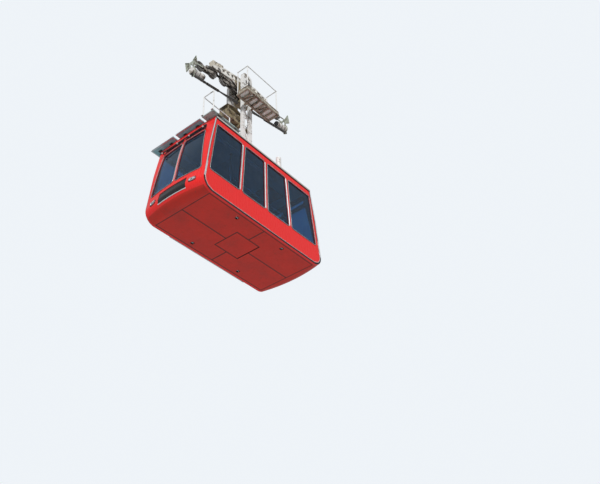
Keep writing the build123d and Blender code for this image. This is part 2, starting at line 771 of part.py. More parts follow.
pin_nut = 26.0
pin_nut_radius = 92.0
with BuildPart() as hanger_pin:
    with BuildSketch(hanger_side.offset(-(leg_inner + leg_thickness + pin_nut))):
        Circle(pin_radius)
    extrude(amount=2 * (leg_inner + leg_thickness + pin_nut))
    for side in (-1, 1):
        with BuildSketch(hanger_side.offset(side * (leg_inner + leg_thickness))):
            RegularPolygon(pin_nut_radius, 8)
        extrude(amount=side * pin_nut)
hanger_pin.part.label = "hanger_pin"
export_step(hanger_pin.part, "parts/hanger_pin.step")

# Cross beams between the legs, with a shelf to the left for the hydraulic unit
unit_foot = -1813.0
unit_box_height = 290.0
unit_left = -690.0
unit_right = -90.0
unit_half_width = 190.0
shelf_bar = 60.0
shelf_right = 200.0
cross_beam = 90.0
lower_beam_height = -2553.0
with BuildPart() as cross_beams:
    for height in (unit_foot - shelf_bar - cross_beam / 2, lower_beam_height):
        with BuildSketch(hanger_side.offset(-leg_inner)):
            chord_middle = leg_half_width - leg_chord / 2
            with Locations((-chord_middle, height), (chord_middle, height)):
                Rectangle(cross_beam, cross_beam)
        extrude(amount=2 * leg_inner)
    with BuildSketch(Plane(origin=(pin_x, 0, pin_z + unit_foot - shelf_bar))):
        for side in (-1, 1):
            with Locations(((unit_left + shelf_right) / 2, side * (unit_half_width - shelf_bar / 2))):
                Rectangle(shelf_right - unit_left, shelf_bar)
    extrude(amount=shelf_bar)
cross_beams.part.label = "cross_beams"
export_step(cross_beams.part, "parts/cross_beams.step")

# Hydraulic unit: closed box, motor drum, and a small ridged canopy on four posts
canopy_eave = 420.0
canopy_ridge = 520.0
canopy_sheet = 14.0
canopy_overhang = 30.0
with BuildPart() as hydraulic_unit:
    unit_middle = (unit_left + unit_right) / 2
    with BuildSketch(hanger_side.offset(-unit_half_width)):
        with Locations((unit_middle, unit_foot + unit_box_height / 2)):
            RectangleRounded(unit_right - unit_left, unit_box_height, 20)
    extrude(amount=2 * unit_half_width)
    with BuildSketch(hanger_side.offset(-120)):
        with Locations((unit_middle, unit_foot + unit_box_height + 50)):
            Circle(70)
    extrude(amount=240)
    with BuildSketch(hanger_side.offset(-unit_half_width)):
        with BuildLine():
            left = unit_left - canopy_overhang
            right = unit_right + canopy_overhang
            eave = unit_foot + canopy_eave
            ridge = unit_foot + canopy_ridge
            Polyline((left, eave), (unit_middle, ridge), (right, eave), (right, eave - canopy_sheet),
                     (unit_middle, ridge - canopy_sheet), (left, eave - canopy_sheet), close=True)
        make_face()
    extrude(amount=2 * unit_half_width)
    with BuildSketch(Plane(origin=(pin_x + unit_middle, 0, pin_z + unit_foot + unit_box_height))):
        with GridLocations(unit_right - unit_left - 60, 2 * unit_half_width - 40, 2, 2):
            Rectangle(30, 30)
    extrude(amount=canopy_eave - unit_box_height)
hydraulic_unit.part.label = "hydraulic_unit"
export_step(hydraulic_unit.part, "parts/hydraulic_unit.step")

# Work platform on the near leg: a frame of crossbars with braces between them, a deck sheet and a railing
platform_left = -590.0
platform_right = 880.0
platform_near = -880.0
platform_far = -435.0
platform_foot = -1136.0
platform_depth = 60.0
platform_bars = 7
platform_bar = 50.0
arm_width = 50.0
platform_width = platform_far - platform_near
platform_bay = (platform_right - platform_left - platform_bar) / platform_bars
with BuildPart() as platform:
    level = Plane(origin=(pin_x, 0, pin_z + platform_foot))
    with BuildSketch(level):
        with Locations(((platform_left + platform_right) / 2, (platform_near + platform_far) / 2)):
            Rectangle(platform_right - platform_left, platform_width)
        for index in range(platform_bars):
            middle = platform_left + (platform_bar + platform_bay * (2 * index + 1)) / 2
            with Locations((middle, (platform_near + platform_far) / 2)):
                Rectangle(platform_bay - platform_bar, platform_width - 2 * platform_bar, mode=Mode.SUBTRACT)
                if index % 3 == 1:
                    Rectangle(26, platform_width - platform_bar, rotation=22)
        for side in (-1, 1):
            arm_reach = -platform_far + platform_bar - leg_inner - leg_thickness
            with Locations((side * (leg_half_width - leg_chord / 2), -leg_inner - leg_thickness - arm_reach / 2)):
                Rectangle(arm_width, arm_reach)
    extrude(amount=platform_depth)
platform.part.label = "platform"
export_step(platform.part, "parts/platform.step")

platform_sheet = 6.0
with BuildPart() as platform_deck:
    with BuildSketch(Plane(origin=(pin_x, 0, pin_z + platform_foot + platform_depth))):
        with Locations(((platform_left + platform_right) / 2, (platform_near + platform_far) / 2)):
            Rectangle(platform_right - platform_left, platform_width)
    extrude(amount=platform_sheet)
platform_deck.part.label = "platform_deck"
export_step(platform_deck.part, "parts/platform_deck.step")

platform_top = pin_z + platform_foot + platform_depth + platform_sheet
platform_rail_height = 1000.0
platform_corners = tuple((pin_x + x, y) for x, y in (
    (platform_left + 25, platform_far - 25), (platform_left + 25, platform_near + 25),
    (platform_right - 80, platform_near + 25), (platform_right - 80, platform_far - 25)))
with BuildPart() as platform_railing:
    add(posts_and_rail(platform_corners, platform_top, platform_top + platform_rail_height, rail_tube))
platform_railing.part.label = "platform_railing"
export_step(platform_railing.part, "parts/platform_railing.step")

# Main girder of the carriage: two arched side plates with a belly round the pin, and flanges between them
girder_foot = 350.0
girder_belly = 185.0
belly_root = 460.0
belly_flat = 250.0
girder_crown = 640.0
girder_shoulder = 700.0
girder_half_length = 1300.0
girder_end_height = 460.0
girder_crown_radius = 250.0
flange = 16.0
flange_inner = 130.0
flange_outer = 600.0
pin_boss_radius = pin_radius + 35
pin_boss_gap = 10.0
girder_outer = girder_plate_inner + girder_plate
rocker_middle = 2 * wheel_pitch
girder_slots = (-840.0, -620.0, -420.0, -230.0, 230.0, 420.0, 620.0, 840.0)
girder_slot_height = 500.0
girder_slot_length = 130.0
girder_slot_width = 80.0


def girder_outline(inset):
    """Side view of the girder, drawn in by an inset at the top."""
    end = girder_half_length
    with BuildSketch() as outline:
        with BuildLine():
            Polyline((-end, girder_foot), (-end, girder_end_height - inset), (-girder_shoulder, girder_crown - inset),
                     (girder_shoulder, girder_crown - inset), (end, girder_end_height - inset), (end, girder_foot),
                     (belly_root, girder_foot), (belly_flat, girder_belly), (-belly_flat, girder_belly),
                     (-belly_root, girder_foot), close=True)
        make_face()
        fillet(outline.vertices().group_by(Axis.Y)[-1], girder_crown_radius)
    return outline.sketch


with BuildPart() as main_girder:
    with BuildSketch(rope_side.offset(-girder_outer)):
        add(girder_outline(0))
    extrude(amount=2 * girder_outer)
    with BuildSketch(rope_side.offset(-girder_plate_inner)):
        add(girder_outline(flange))
    extrude(amount=2 * girder_plate_inner, mode=Mode.SUBTRACT)
    with BuildSketch(rope_side.offset(-girder_plate_inner)):
        for side in (-1, 1):
            with Locations((side * (flange_inner + flange_outer) / 2, girder_foot + flange / 2)):
                Rectangle(flange_outer - flange_inner, flange)
    extrude(amount=2 * girder_plate_inner)
    for side in (-1, 1):
        with BuildSketch(rope_side.offset(side * girder_outer)):
            with Locations((0, pin_above_rope)):
                Circle(pin_boss_radius)
        extrude(amount=side * (leg_inner - girder_outer - pin_boss_gap))
    with BuildSketch(rope_side.offset(-leg_inner)):
        with Locations((0, pin_above_rope)):
            Circle(pin_radius + shaft_clearance)
        with Locations((-rocker_middle, rocker_pin_height), (rocker_middle, rocker_pin_height)):
            Circle(rocker_pin_radius + shaft_clearance)
        for station in girder_slots:
            with Locations((station, girder_slot_height)):
                SlotOverall(girder_slot_length, girder_slot_width, rotation=90)
    extrude(amount=2 * leg_inner, mode=Mode.SUBTRACT)
main_girder.part.label = "main_girder"
export_step(main_girder.part, "parts/main_girder.step")

# Four-wheel rockers: two plates joined by a middle pin and two end pins
for side, name in ((-1, "left"), (1, "right")):
    near = side * wheel_pitch
    far = side * 3 * wheel_pitch
    middle = side * rocker_middle
    with BuildPart() as rocker:
        for face in (rocker_plate_inner, -rocker_plate_inner - rocker_plate):
            with BuildSketch(rope_side.offset(face)) as outline:
                with BuildLine():
                    Polyline((near - side * 60, 190), (near - side * 60, 280), (middle - side * 70, 440),
                             (middle + side * 70, 440), (far + side * 60, 280), (far + side * 60, 190),
                             (middle + side * 120, 300), (middle - side * 120, 300), close=True)
                make_face()
                fillet(outline.vertices(), 30)
            extrude(amount=rocker_plate)
        with BuildSketch(rope_side.offset(-rocker_plate_inner - rocker_plate)):
            with Locations((near, bogie_pin_height), (far, bogie_pin_height)):
                Circle(rocker_pin_radius)
        extrude(amount=2 * (rocker_plate_inner + rocker_plate))
        with BuildSketch(rope_side.offset(-girder_outer - 8)):
            with Locations((middle, rocker_pin_height)):
                Circle(rocker_pin_radius)
        extrude(amount=2 * (girder_outer + 8))
    rocker.part.label = f"rocker_{name}"
    export_step(rocker.part, f"parts/rocker_{name}.step")

# Two-wheel bogies: plates outside the wheels, axles, and a bushed pin hole
bogie_outer = bogie_plate_inner + bogie_plate
with BuildPart() as bogies:
    for middle in (-3 * wheel_pitch, -wheel_pitch, wheel_pitch, 3 * wheel_pitch):
        for face in (bogie_plate_inner, -bogie_outer):
            with BuildSketch(rope_side.offset(face)):
                with Locations((middle, wheel_height)):
                    SlotCenterToCenter(wheel_pitch, 120)
                with Locations((middle, bogie_pin_height)):
                    Circle(65)
            extrude(amount=bogie_plate)
        with BuildSketch(rope_side.offset(-bogie_outer)):
            with Locations((middle - wheel_pitch / 2, wheel_height), (middle + wheel_pitch / 2, wheel_height)):
                Circle(axle_radius)
            with Locations((middle, bogie_pin_height)):
                Circle(rocker_pin_radius + 16)
        extrude(amount=2 * bogie_outer)
        with BuildSketch(rope_side.offset(-bogie_outer)):
            with Locations((middle, bogie_pin_height)):
                Circle(rocker_pin_radius + shaft_clearance)
        extrude(amount=2 * bogie_outer, mode=Mode.SUBTRACT)
bogies.part.label = "bogies"
export_step(bogies.part, "parts/bogies.step")

# Grooved wheels with a rim, a web and a hub, turned about their axles
groove_depth = 8.0
for number in range(wheel_count):
    station = (number - (wheel_count - 1) / 2) * wheel_pitch
    centre = (station * cos(lean) - wheel_height * sin(lean), 0, station * sin(lean) + wheel_height * cos(lean))
    with BuildPart() as wheel:
        with BuildSketch(Plane(origin=centre, x_dir=(0, 1, 0), z_dir=(1, 0, 0))):
            with BuildLine():
                bore = axle_radius + shaft_clearance
                hub = wheel_half_width + 6
                lip = wheel_tread_radius + groove_depth
                Polyline((-track_rope_radius, lip), (-wheel_half_width + 8, wheel_flange_radius),
                         (-wheel_half_width, wheel_flange_radius), (-wheel_half_width, 116), (-14, 108), (-14, 60),
                         (-hub, 52), (-hub, bore), (hub, bore), (hub, 52), (14, 60), (14, 108),
                         (wheel_half_width, 116), (wheel_half_width, wheel_flange_radius),
                         (wheel_half_width - 8, wheel_flange_radius), (track_rope_radius, lip))
                ThreePointArc((track_rope_radius, lip), (0, wheel_tread_radius), (-track_rope_radius, lip))
            make_face()
        revolve(axis=Axis(centre, (0, 1, 0)))
    wheel.part.label = f"wheel_{number + 1}"
    export_step(wheel.part, f"parts/wheel_{number + 1}.step")

# Guide frame at each end: a bow-tie plate that straddles the rope, with a neck to the buffer and the rope socket
buffer_radius = 100.0
buffer_height = -235.0
buffer_length = 500.0
buffer_overhang = 70.0
socket_radius = 36.0
socket_length = 600.0
socket_bore_depth = 300.0
ring_margin = 30.0
guide_half_width = 228.0
guide_arm_start = 1780.0
guide_arm = 46.0
for side, name in ((-1, "left"), (1, "right")):
    with BuildPart() as guide:
        with BuildSketch(across_rope(side * guide_station)):
            with BuildLine():
                Polyline((-guide_half_width, -130), (-guide_half_width, 210), (-80, 120), (80, 120),
                         (guide_half_width, 210), (guide_half_width, -130), (90, -60), (90, buffer_height),
                         (60, -haul_rope_drop), (-60, -haul_rope_drop), (-90, buffer_height), (-90, -60), close=True)
            make_face()
            with Locations((0, buffer_height)):
                Circle(buffer_radius + ring_margin)
            with Locations((0, -haul_rope_drop)):
                Circle(socket_radius + ring_margin)
            with Locations((0, -25)):
                SlotOverall(140, 90, rotation=90, mode=Mode.SUBTRACT)
            with Locations((0, buffer_height)):
                Circle(buffer_radius + shaft_clearance, mode=Mode.SUBTRACT)
            with Locations((0, -haul_rope_drop)):
                Circle(socket_radius + shaft_clearance, mode=Mode.SUBTRACT)
        extrude(amount=side * guide_plate)
        for face in (bogie_outer, -bogie_outer - guide_plate):
            with BuildSketch(rope_side.offset(face)):
                with Locations((side * (guide_arm_start + guide_station) / 2, wheel_height - 50)):
                    Rectangle(guide_station - guide_arm_start, guide_arm)
            extrude(amount=guide_plate)
    guide.part.label = f"guide_{name}"
    export_step(guide.part, f"parts/guide_{name}.step")

    outer_end = side * (guide_station + buffer_overhang)
    with BuildPart() as socket:
        with BuildSketch(across_rope(outer_end)):
            with Locations((0, -haul_rope_drop)):
                Circle(socket_radius)
        extrude(amount=-side * socket_length)
        with BuildSketch(across_rope(outer_end)):
            with Locations((0, -haul_rope_drop)):
                Circle(haul_rope_radius + 1)
        extrude(amount=-side * socket_bore_depth, mode=Mode.SUBTRACT)
    socket.part.label = f"haul_socket_{name}"
    export_step(socket.part, f"parts/haul_socket_{name}.step")

# Buffers over the haul rope's line, one at each end
with BuildPart() as buffers:
    for side in (-1, 1):
        with BuildSketch(across_rope(side * (guide_station + buffer_overhang))):
            with Locations((0, buffer_height)):
                Circle(buffer_radius)
        extrude(amount=-side * buffer_length)
buffers.part.label = "buffers"
export_step(buffers.part, "parts/buffers.step")

# Draw rods from the sockets to the drop frame: a row of round clamps, then a spindle that thickens inwards
rod_radius = 24.0
clamp_radius = 42.0
clamp_length = 55.0
clamp_pitch = 90.0
clamp_count = 6
spindle_start = 950.0
spindle_radius = 56.0
block_half_length = 230.0
rod_end = 120.0
socket_inner = guide_station + buffer_overhang - socket_length
with BuildPart() as draw_rods:
    for side in (-1, 1):
        with BuildSketch(across_rope(side * socket_inner)):
            with Locations((0, -haul_rope_drop)):
                Circle(rod_radius)
        extrude(amount=-side * (socket_inner - rod_end))
        for index in range(clamp_count):
            with BuildSketch(across_rope(side * (socket_inner - 50 - index * clamp_pitch))):
                with Locations((0, -haul_rope_drop)):
                    Circle(clamp_radius)
            extrude(amount=-side * clamp_length)
        with BuildSketch(across_rope(side * spindle_start)):
            with Locations((0, -haul_rope_drop)):
                Circle(rod_radius + 2)
        with BuildSketch(across_rope(side * block_half_length)):
            with Locations((0, -haul_rope_drop)):
                Circle(spindle_radius)
        loft()
draw_rods.part.label = "draw_rods"
export_step(draw_rods.part, "parts/draw_rods.step")

# Drop frame under the girder's middle: two side plates and a block that holds both draw rods
drop_plate = 14.0
block_height = 130.0
with BuildPart() as drop_frame:
    for face in (girder_outer, -girder_outer - drop_plate):
        with BuildSketch(rope_side.offset(face)) as outline:
            with BuildLine():
                Polyline((-320, 440), (320, 440), (320, 250), (170, -60), (240, -300), (240, -450), (-240, -450),
                         (-240, -300), (-170, -60), (-320, 250), close=True)
            make_face()
            fillet(outline.vertices(), 25)
            with Locations((0, 110)):
                SlotOverall(230, 110, mode=Mode.SUBTRACT)
            with Locations((0, pin_above_rope)):
                Circle(pin_boss_radius + shaft_clearance, mode=Mode.SUBTRACT)
        extrude(amount=drop_plate)
    with BuildSketch(rope_side.offset(-girder_outer)):
        with Locations((0, -haul_rope_drop)):
            RectangleRounded(2 * block_half_length, block_height, 20)
    extrude(amount=2 * girder_outer)
    with BuildSketch(across_rope(-block_half_length)):
        with Locations((0, -haul_rope_drop)):
            Circle(rod_radius + shaft_clearance)
    extrude(amount=2 * block_half_length, mode=Mode.SUBTRACT)
drop_frame.part.label = "drop_frame"
export_step(drop_frame.part, "parts/drop_frame.step")

# Track rope brake: a block with two jaws on each side of the rope
jaw_inner = 72.0
with BuildPart() as rope_brake:
    for face in (jaw_inner, -girder_outer):
        with BuildSketch(rope_side.offset(face)):
            with Locations((0, -10)):
                RectangleRounded(420, 190, 30)
        extrude(amount=girder_outer - jaw_inner)
        with BuildSketch(rope_side.offset(face)):
            with Locations((-90, -200), (90, -200)):
                Rectangle(90, 200)
        extrude(amount=girder_outer - jaw_inner)
rope_brake.part.label = "rope_brake"
export_step(rope_brake.part, "parts/rope_brake.step")

# Boxes on the girder's left end
box_half_width = 90.0
end_box_place = (-1130.0, 600.0)
end_box_size = (230.0, 210.0)
inner_box_place = (-890.0, 650.0)
inner_box_size = (220.0, 150.0)
inner_box_corner = 20.0
with BuildPart() as control_boxes:
    with BuildSketch(rope_side.offset(-box_half_width)):
        with Locations(end_box_place):
            Rectangle(*end_box_size)
        with Locations(inner_box_place):
            RectangleRounded(*inner_box_size, inner_box_corner)
    extrude(amount=2 * box_half_width)
    with BuildSketch(rope_side.offset(-girder_outer)):
        add(girder_outline(0))
    extrude(amount=2 * girder_outer, mode=Mode.SUBTRACT)
control_boxes.part.label = "control_boxes"
export_step(control_boxes.part, "parts/control_boxes.step")
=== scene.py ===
"""Looks of an aerial cable car: red glazed cabin, white laced hanger and eight-wheel carriage.

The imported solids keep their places. Each section below finishes one of them or adds what is fixed to it.
Lengths are in metres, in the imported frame: +X along the cabin, -Y the near side, +Z up.
"""
import json
import math

import bmesh
import bpy
from mathutils import Matrix, Vector


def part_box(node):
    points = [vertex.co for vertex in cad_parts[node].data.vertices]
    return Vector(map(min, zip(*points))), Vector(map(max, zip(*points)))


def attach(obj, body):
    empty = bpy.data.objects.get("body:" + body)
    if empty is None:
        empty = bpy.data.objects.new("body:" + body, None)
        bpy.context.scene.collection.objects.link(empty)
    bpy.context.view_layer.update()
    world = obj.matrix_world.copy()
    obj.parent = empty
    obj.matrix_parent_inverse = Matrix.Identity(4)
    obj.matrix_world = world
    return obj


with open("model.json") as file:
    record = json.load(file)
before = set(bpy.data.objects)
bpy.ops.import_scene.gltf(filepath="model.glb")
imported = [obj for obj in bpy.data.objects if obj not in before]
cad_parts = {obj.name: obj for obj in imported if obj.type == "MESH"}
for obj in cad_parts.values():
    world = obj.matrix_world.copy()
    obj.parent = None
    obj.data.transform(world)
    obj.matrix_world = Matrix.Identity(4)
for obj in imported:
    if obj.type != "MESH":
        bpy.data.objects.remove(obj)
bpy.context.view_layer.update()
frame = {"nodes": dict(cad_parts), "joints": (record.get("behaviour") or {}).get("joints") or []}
solid = frame["nodes"]


# Floor, light and camera. The car hangs in the air and is seen from the ground, a little behind its lower
# end, so the floor lies just under the camera and the paper behind is the world's own pale colour.
camera_place = Vector((-11.996, -11.115, -18.093))
camera_turn, camera_tilt, camera_roll = math.radians(37.0), math.radians(36.83), math.radians(2.85)
camera_lens, sensor_width, farthest_seen = 45.0, 36.0, 300.0
floor_below_camera, floor_half = 0.15, 90.0
floor_tones = ((0.0, (0.60, 0.61, 0.61)), (1.0, (0.68, 0.69, 0.69)))
sun_strength, sun_spread, sun_from = 2.7, math.radians(9), Vector((-0.66, -0.58, 0.48))
sky_strength, sky_tint, paper_tint = 0.36, (0.93, 0.96, 1.0), (0.86, 0.90, 0.94)
x_way, y_way, up = Vector((1, 0, 0)), Vector((0, 1, 0)), Vector((0, 0, 1))
scene = bpy.context.scene
scene.view_settings.view_transform = "Standard"


def add_object(name, data):
    """Links a new object into the scene."""
    made = bpy.data.objects.new(name, data)
    scene.collection.objects.link(made)
    return made


ahead = (x_way * math.cos(camera_turn) + y_way * math.sin(camera_turn)) * math.cos(camera_tilt)
ahead += up * math.sin(camera_tilt)
level_right = x_way * math.sin(camera_turn) - y_way * math.cos(camera_turn)
camera_right = level_right * math.cos(camera_roll) - level_right.cross(ahead) * math.sin(camera_roll)
camera_axes = Matrix((camera_right, camera_right.cross(ahead), -ahead)).transposed()
camera = add_object("camera", bpy.data.cameras.new("camera"))
camera.matrix_world = Matrix.Translation(camera_place) @ camera_axes.to_4x4()
camera.data.lens = camera_lens
camera.data.sensor_width = sensor_width
camera.data.clip_end = farthest_seen
scene.camera = camera

sun = add_object("sun", bpy.data.lights.new("sun", "SUN"))
sun.data.energy = sun_strength
sun.data.angle = sun_spread
sun.rotation_mode = "QUATERNION"
sun.rotation_quaternion = sun_from.to_track_quat("Z", "Y")


def put(socket, value):
    """Wires a node's output into a socket, or sets the socket to a plain value or a three-part colour."""
    if isinstance(value, bpy.types.NodeSocket):
        socket.id_data.links.new(value, socket)
    else:
        socket.default_value = (*value, 1) if socket.type == "RGBA" else value


def feed(node, **settings):
    """Sets a node's properties (small letters) and its inputs (first letter large)."""
    for key, value in settings.items():
        if key[0].islower():
            setattr(node, key, value)
        else:
            put(node.inputs[key.replace("_", " ")], value)
    return node


def place(tree, kind, **settings):
    """Adds a shader node."""
    return feed(tree.nodes.new(f"ShaderNode{kind}"), **settings)


def worked(tree, operation, first, second=0.0):
    """Result of a sum on two values."""
    node = place(tree, "Math", operation=operation)
    put(node.inputs[0], first)
    put(node.inputs[1], second)
    return node.outputs[0]


def blend_tones(tree, tones, share):
    """Colour ramp through (place, colour) stops, driven by a value."""
    ramp = place(tree, "ValToRGB", Fac=share)
    stops = ramp.color_ramp.elements
    while len(stops) < len(tones):
        stops.new(0.5)
    for stop, (position, colour) in zip(stops, tones):
        stop.position = position
        stop.color = (*colour, 1)
    return ramp.outputs[0]


def new_finish(name):
    """New material, with its node tree, its shader and the piece's own coordinates."""
    stuff = bpy.data.materials.new(name)
    stuff.use_nodes = True
    tree = stuff.node_tree
    return stuff, tree, tree.nodes["Principled BSDF"], place(tree, "TexCoord").outputs["Object"]


world = bpy.data.worlds.new("paper")
scene.world = world
world.use_nodes = True
tree = world.node_tree
ray = place(tree, "LightPath")
eye_share = worked(tree, "MAXIMUM", ray.outputs["Is Camera Ray"], ray.outputs["Is Transmission Ray"])
lit = feed(tree.nodes["Background"], Color=sky_tint, Strength=sky_strength)
seen = place(tree, "Background", Color=paper_tint, Strength=1.0)
either = place(tree, "MixShader")
for socket, value in zip(either.inputs, (eye_share, lit.outputs[0], seen.outputs[0])):
    put(socket, value)
put(tree.nodes["World Output"].inputs["Surface"], either.outputs[0])

floor_stuff, tree, shader, where = new_finish("pale_floor")
mottle = place(tree, "TexNoise", Scale=0.6, Detail=4.0).outputs[0]
feed(shader, Base_Color=blend_tones(tree, floor_tones, mottle), Roughness=0.9)
floor_form = bmesh.new()
bmesh.ops.create_grid(floor_form, x_segments=2, y_segments=2, size=floor_half)
floor_mesh = bpy.data.meshes.new("studio_floor")
floor_form.to_mesh(floor_mesh)
floor_form.free()
floor_mesh.materials.append(floor_stuff)
studio_floor = add_object("studio_floor", floor_mesh)
studio_floor.location = (0, 0, camera_place.z - floor_below_camera)


# Cabin shell. Welded sheet walls and roof in gloss red coach paint: slight orange peel, a little fading on
# broad areas, dust that has run down in streaks, and a clear coat.
pin = Vector(next(joint["pos_m"] for joint in frame["joints"] if joint["name"] == "hanger_swing"))
cabin_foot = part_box("side_wall_near")[0].z
half_width = -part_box("side_wall_near")[0].y
wall, cabin_height = 0.055, 2.700
coach_red, faded_red, dusty_red = (0.88, 0.022, 0.020), (0.80, 0.026, 0.024), (0.55, 0.060, 0.045)


def cabin_point(x, y, height):
    """Point on the cabin: from its middle along and across, and up from its underside."""
    return Vector((pin.x + x, y, cabin_foot + height))


def noise(tree, where, scale, detail, **settings):
    """Cloudy value over a surface."""
    return place(tree, "TexNoise", Vector=where, Scale=scale, Detail=detail, **settings).outputs[0]


def stretched(tree, where, scale):
    """Coordinates scaled by three factors, which draws a pattern out along the smallest."""
    return place(tree, "Mapping", vector_type="POINT", Vector=where, Scale=scale).outputs[0]


def ranged(tree, value, low, high, first, last):
    """Carries a value's span from low to high over to the span from first to last."""
    span = place(tree, "MapRange", Value=value, From_Min=low, From_Max=high, To_Min=first, To_Max=last)
    return span.outputs[0]


def mixed(tree, share, first, second, blend="MIX"):
    """Mix of two colours by a share."""
    mix = place(tree, "Mix", data_type="RGBA", blend_type=blend)
    for index, value in ((0, share), (6, first), (7, second)):
        put(mix.inputs[index], value)
    return mix.outputs[2]


def raised(tree, height, strength, distance):
    """Small relief that follows a value."""
    return place(tree, "Bump", Height=height, Strength=strength, Distance=distance).outputs[0]


def sprayed_paint(name, tones, dirt, roughness, coat, peel, streak=0.35, metallic=0.0, mark=None):
    """Paint over sheet metal: cloudy tones, streaks of dirt, specks and orange peel; mark adds more."""
    stuff, tree, shader, where = new_finish(name)
    streaks = noise(tree, stretched(tree, where, (4.0, 4.0, 0.6)), 3.0, 5.0, Roughness=0.7)
    specks = noise(tree, where, 55.0, 4.0, Roughness=0.7)
    clouds = noise(tree, where, 1.7, 6.0, Roughness=0.6)
    colour = blend_tones(tree, list(zip((0.30, 0.55, 0.80), tones)), clouds)
    colour = mixed(tree, ranged(tree, streaks, 0.56, 0.80, 0.0, streak), colour, dirt)
    colour = mixed(tree, ranged(tree, specks, 0.66, 0.78, 0.0, streak), colour, dirt)
    if mark:
        colour = mark(tree, where, colour)
    feed(shader, Base_Color=colour, Metallic=metallic, Specular_IOR_Level=0.35, Coat_Weight=coat,
         Coat_Roughness=0.08, Roughness=ranged(tree, streaks, 0.3, 0.8, roughness * 0.8, roughness * 1.5),
         Normal=raised(tree, noise(tree, where, 240.0, 2.0), peel, 0.0015))
    return stuff


def dress(material, *names):
    """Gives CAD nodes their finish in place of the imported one."""
    for name in names:
        mesh = solid[name].data
        mesh.materials.clear()
        mesh.materials.append(material)


red_coach_paint = sprayed_paint("red_coach_paint", (coach_red, coach_red, faded_red), dusty_red,
                                0.26, 0.15, 0.08, 0.12)
dress(red_coach_paint, "side_wall_near", "side_wall_far", "end_wall_left", "end_wall_right", "door_left",
      "door_right", "roof", "roof_hatch")


# Side glazing. Each pane of blue-grey safety glass sits in a black rubber gasket that grips the cut edge of
# the wall, with a bright filler strip pressed into its groove. The strip's part matt, pale finish is a
# painted reflection of the sky. The far gaskets are flush, for the doors.
side_sill, side_head, side_window_corner = 0.700, 2.420, 0.060
side_window_edges = ((-2.170, -1.085, -1.965, -0.975), (-0.955, -0.065, -0.845, -0.065),
                     (0.065, 0.955, 0.065, 0.845), (1.085, 2.170, 0.975, 1.965))
gasket_width, gasket_stand, flush_stand, gasket_lap = 0.030, 0.009, 0.003, 0.006
filler_width, filler_stand, filler_sunk = 0.009, 0.003, 0.002
sharp_edge = math.radians(32)


def rounded_outline(corners, radius, steps=7):
    """Points round a flat polygon of (u, v) corners, each corner turned by an arc."""
    points = []
    for index, corner in enumerate(corners):
        here = Vector(corner)
        back = (Vector(corners[index - 1]) - here).normalized()
        on = (Vector(corners[(index + 1) % len(corners)]) - here).normalized()
        half = back.angle(on) / 2
        reach = radius / math.tan(half)
        middle = here + (back + on).normalized() * (radius / math.sin(half))
        start, end = here + back * reach - middle, here + on * reach - middle
        for share in (step / steps for step in range(steps + 1)):
            points.append(middle + (start * (1 - share) + end * share).normalized() * radius)
    return points


def skin(form, rings, closed=False):
    """Joins rings of points into a tube, which is closed on itself or capped at both ends."""
    rings = [[form.verts.new(point) for point in ring] for ring in rings]
    size = len(rings[0])
    for lower, upper in zip(rings, rings[1:] + rings[:1] if closed else rings[1:]):
        for k in range(size):
            form.faces.new((lower[k], lower[(k + 1) % size], upper[(k + 1) % size], upper[k]))
    if not closed:
        form.faces.new(reversed(rings[0]))
        form.faces.new(rings[-1])


def facing(points, out):
    """Seats for a strip on a flat face: each point with the face's outward direction."""
    return [(point, out) for point in points]


def run_strip(form, seats, width, stand, sunk=0.0, closed=True, lift=0.0):
    """Lays a strip with softened outer corners along (point, outward) seats."""
    half, soft = width / 2, min(width, stand) * 0.3
    profile = ((-half, -sunk), (half, -sunk), (half, stand - soft), (half - soft, stand),
               (soft - half, stand), (-half, stand - soft))
    points = [point + out * lift for point, out in seats]
    count = len(points)
    rings = []
    for index, point in enumerate(points):
        out = seats[index][1]
        before = points[index - 1] if closed or index else points[0] * 2 - points[1]
        after = points[(index + 1) % count] if closed or index < count - 1 else points[-1] * 2 - points[-2]
        first, second = (point - before).normalized(), (after - point).normalized()
        side = (first + second).cross(out).normalized()
        widen = 1 / max(0.6, math.sqrt(max(0.0, (1 + first.dot(second)) / 2)))
        rings.append([point + side * u * widen + out * v for u, v in profile])
    skin(form, rings, closed)


def fix_piece(name, form, material, body="cabin"):
    """Closes a form into a named piece that rides on a body."""
    bmesh.ops.recalc_face_normals(form, faces=form.faces)
    mesh = bpy.data.meshes.new(name)
    form.to_mesh(mesh)
    form.free()
    mesh.materials.append(material)
    mesh.polygons.foreach_set("use_smooth", [True] * len(mesh.polygons))
    mesh.set_sharp_from_angle(angle=sharp_edge)
    made = add_object(name, mesh)
    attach(made, body)


def moulded_rubber(name, colour, bloom, roughness=0.62):
    """Black rubber with a pale bloom in patches and a fine moulded grain."""
    stuff, tree, shader, where = new_finish(name)
    tones = ((0.35, colour), (0.62, colour), (0.85, bloom))
    feed(shader, Base_Color=blend_tones(tree, tones, noise(tree, where, 14.0, 5.0)), Roughness=roughness,
         Normal=raised(tree, noise(tree, where, 420.0, 2.0), 0.25, 0.0008))
    return stuff


def drawn_metal(name, bright, tarnish, roughness, scale=(1, 1, 1), metallic=1.0):
    """Bare or anodised metal with drawing marks and slight tarnish."""
    stuff, tree, shader, where = new_finish(name)
    marks = noise(tree, stretched(tree, where, scale), 60.0, 4.0)
    tones = ((0.35, bright), (0.75, tarnish))
    feed(shader, Base_Color=blend_tones(tree, tones, noise(tree, where, 5.0, 6.0)), Metallic=metallic,
         Roughness=ranged(tree, marks, 0.0, 1.0, roughness * 0.7, roughness * 1.4),
         Normal=raised(tree, marks, 0.12, 0.0006))
    return stuff


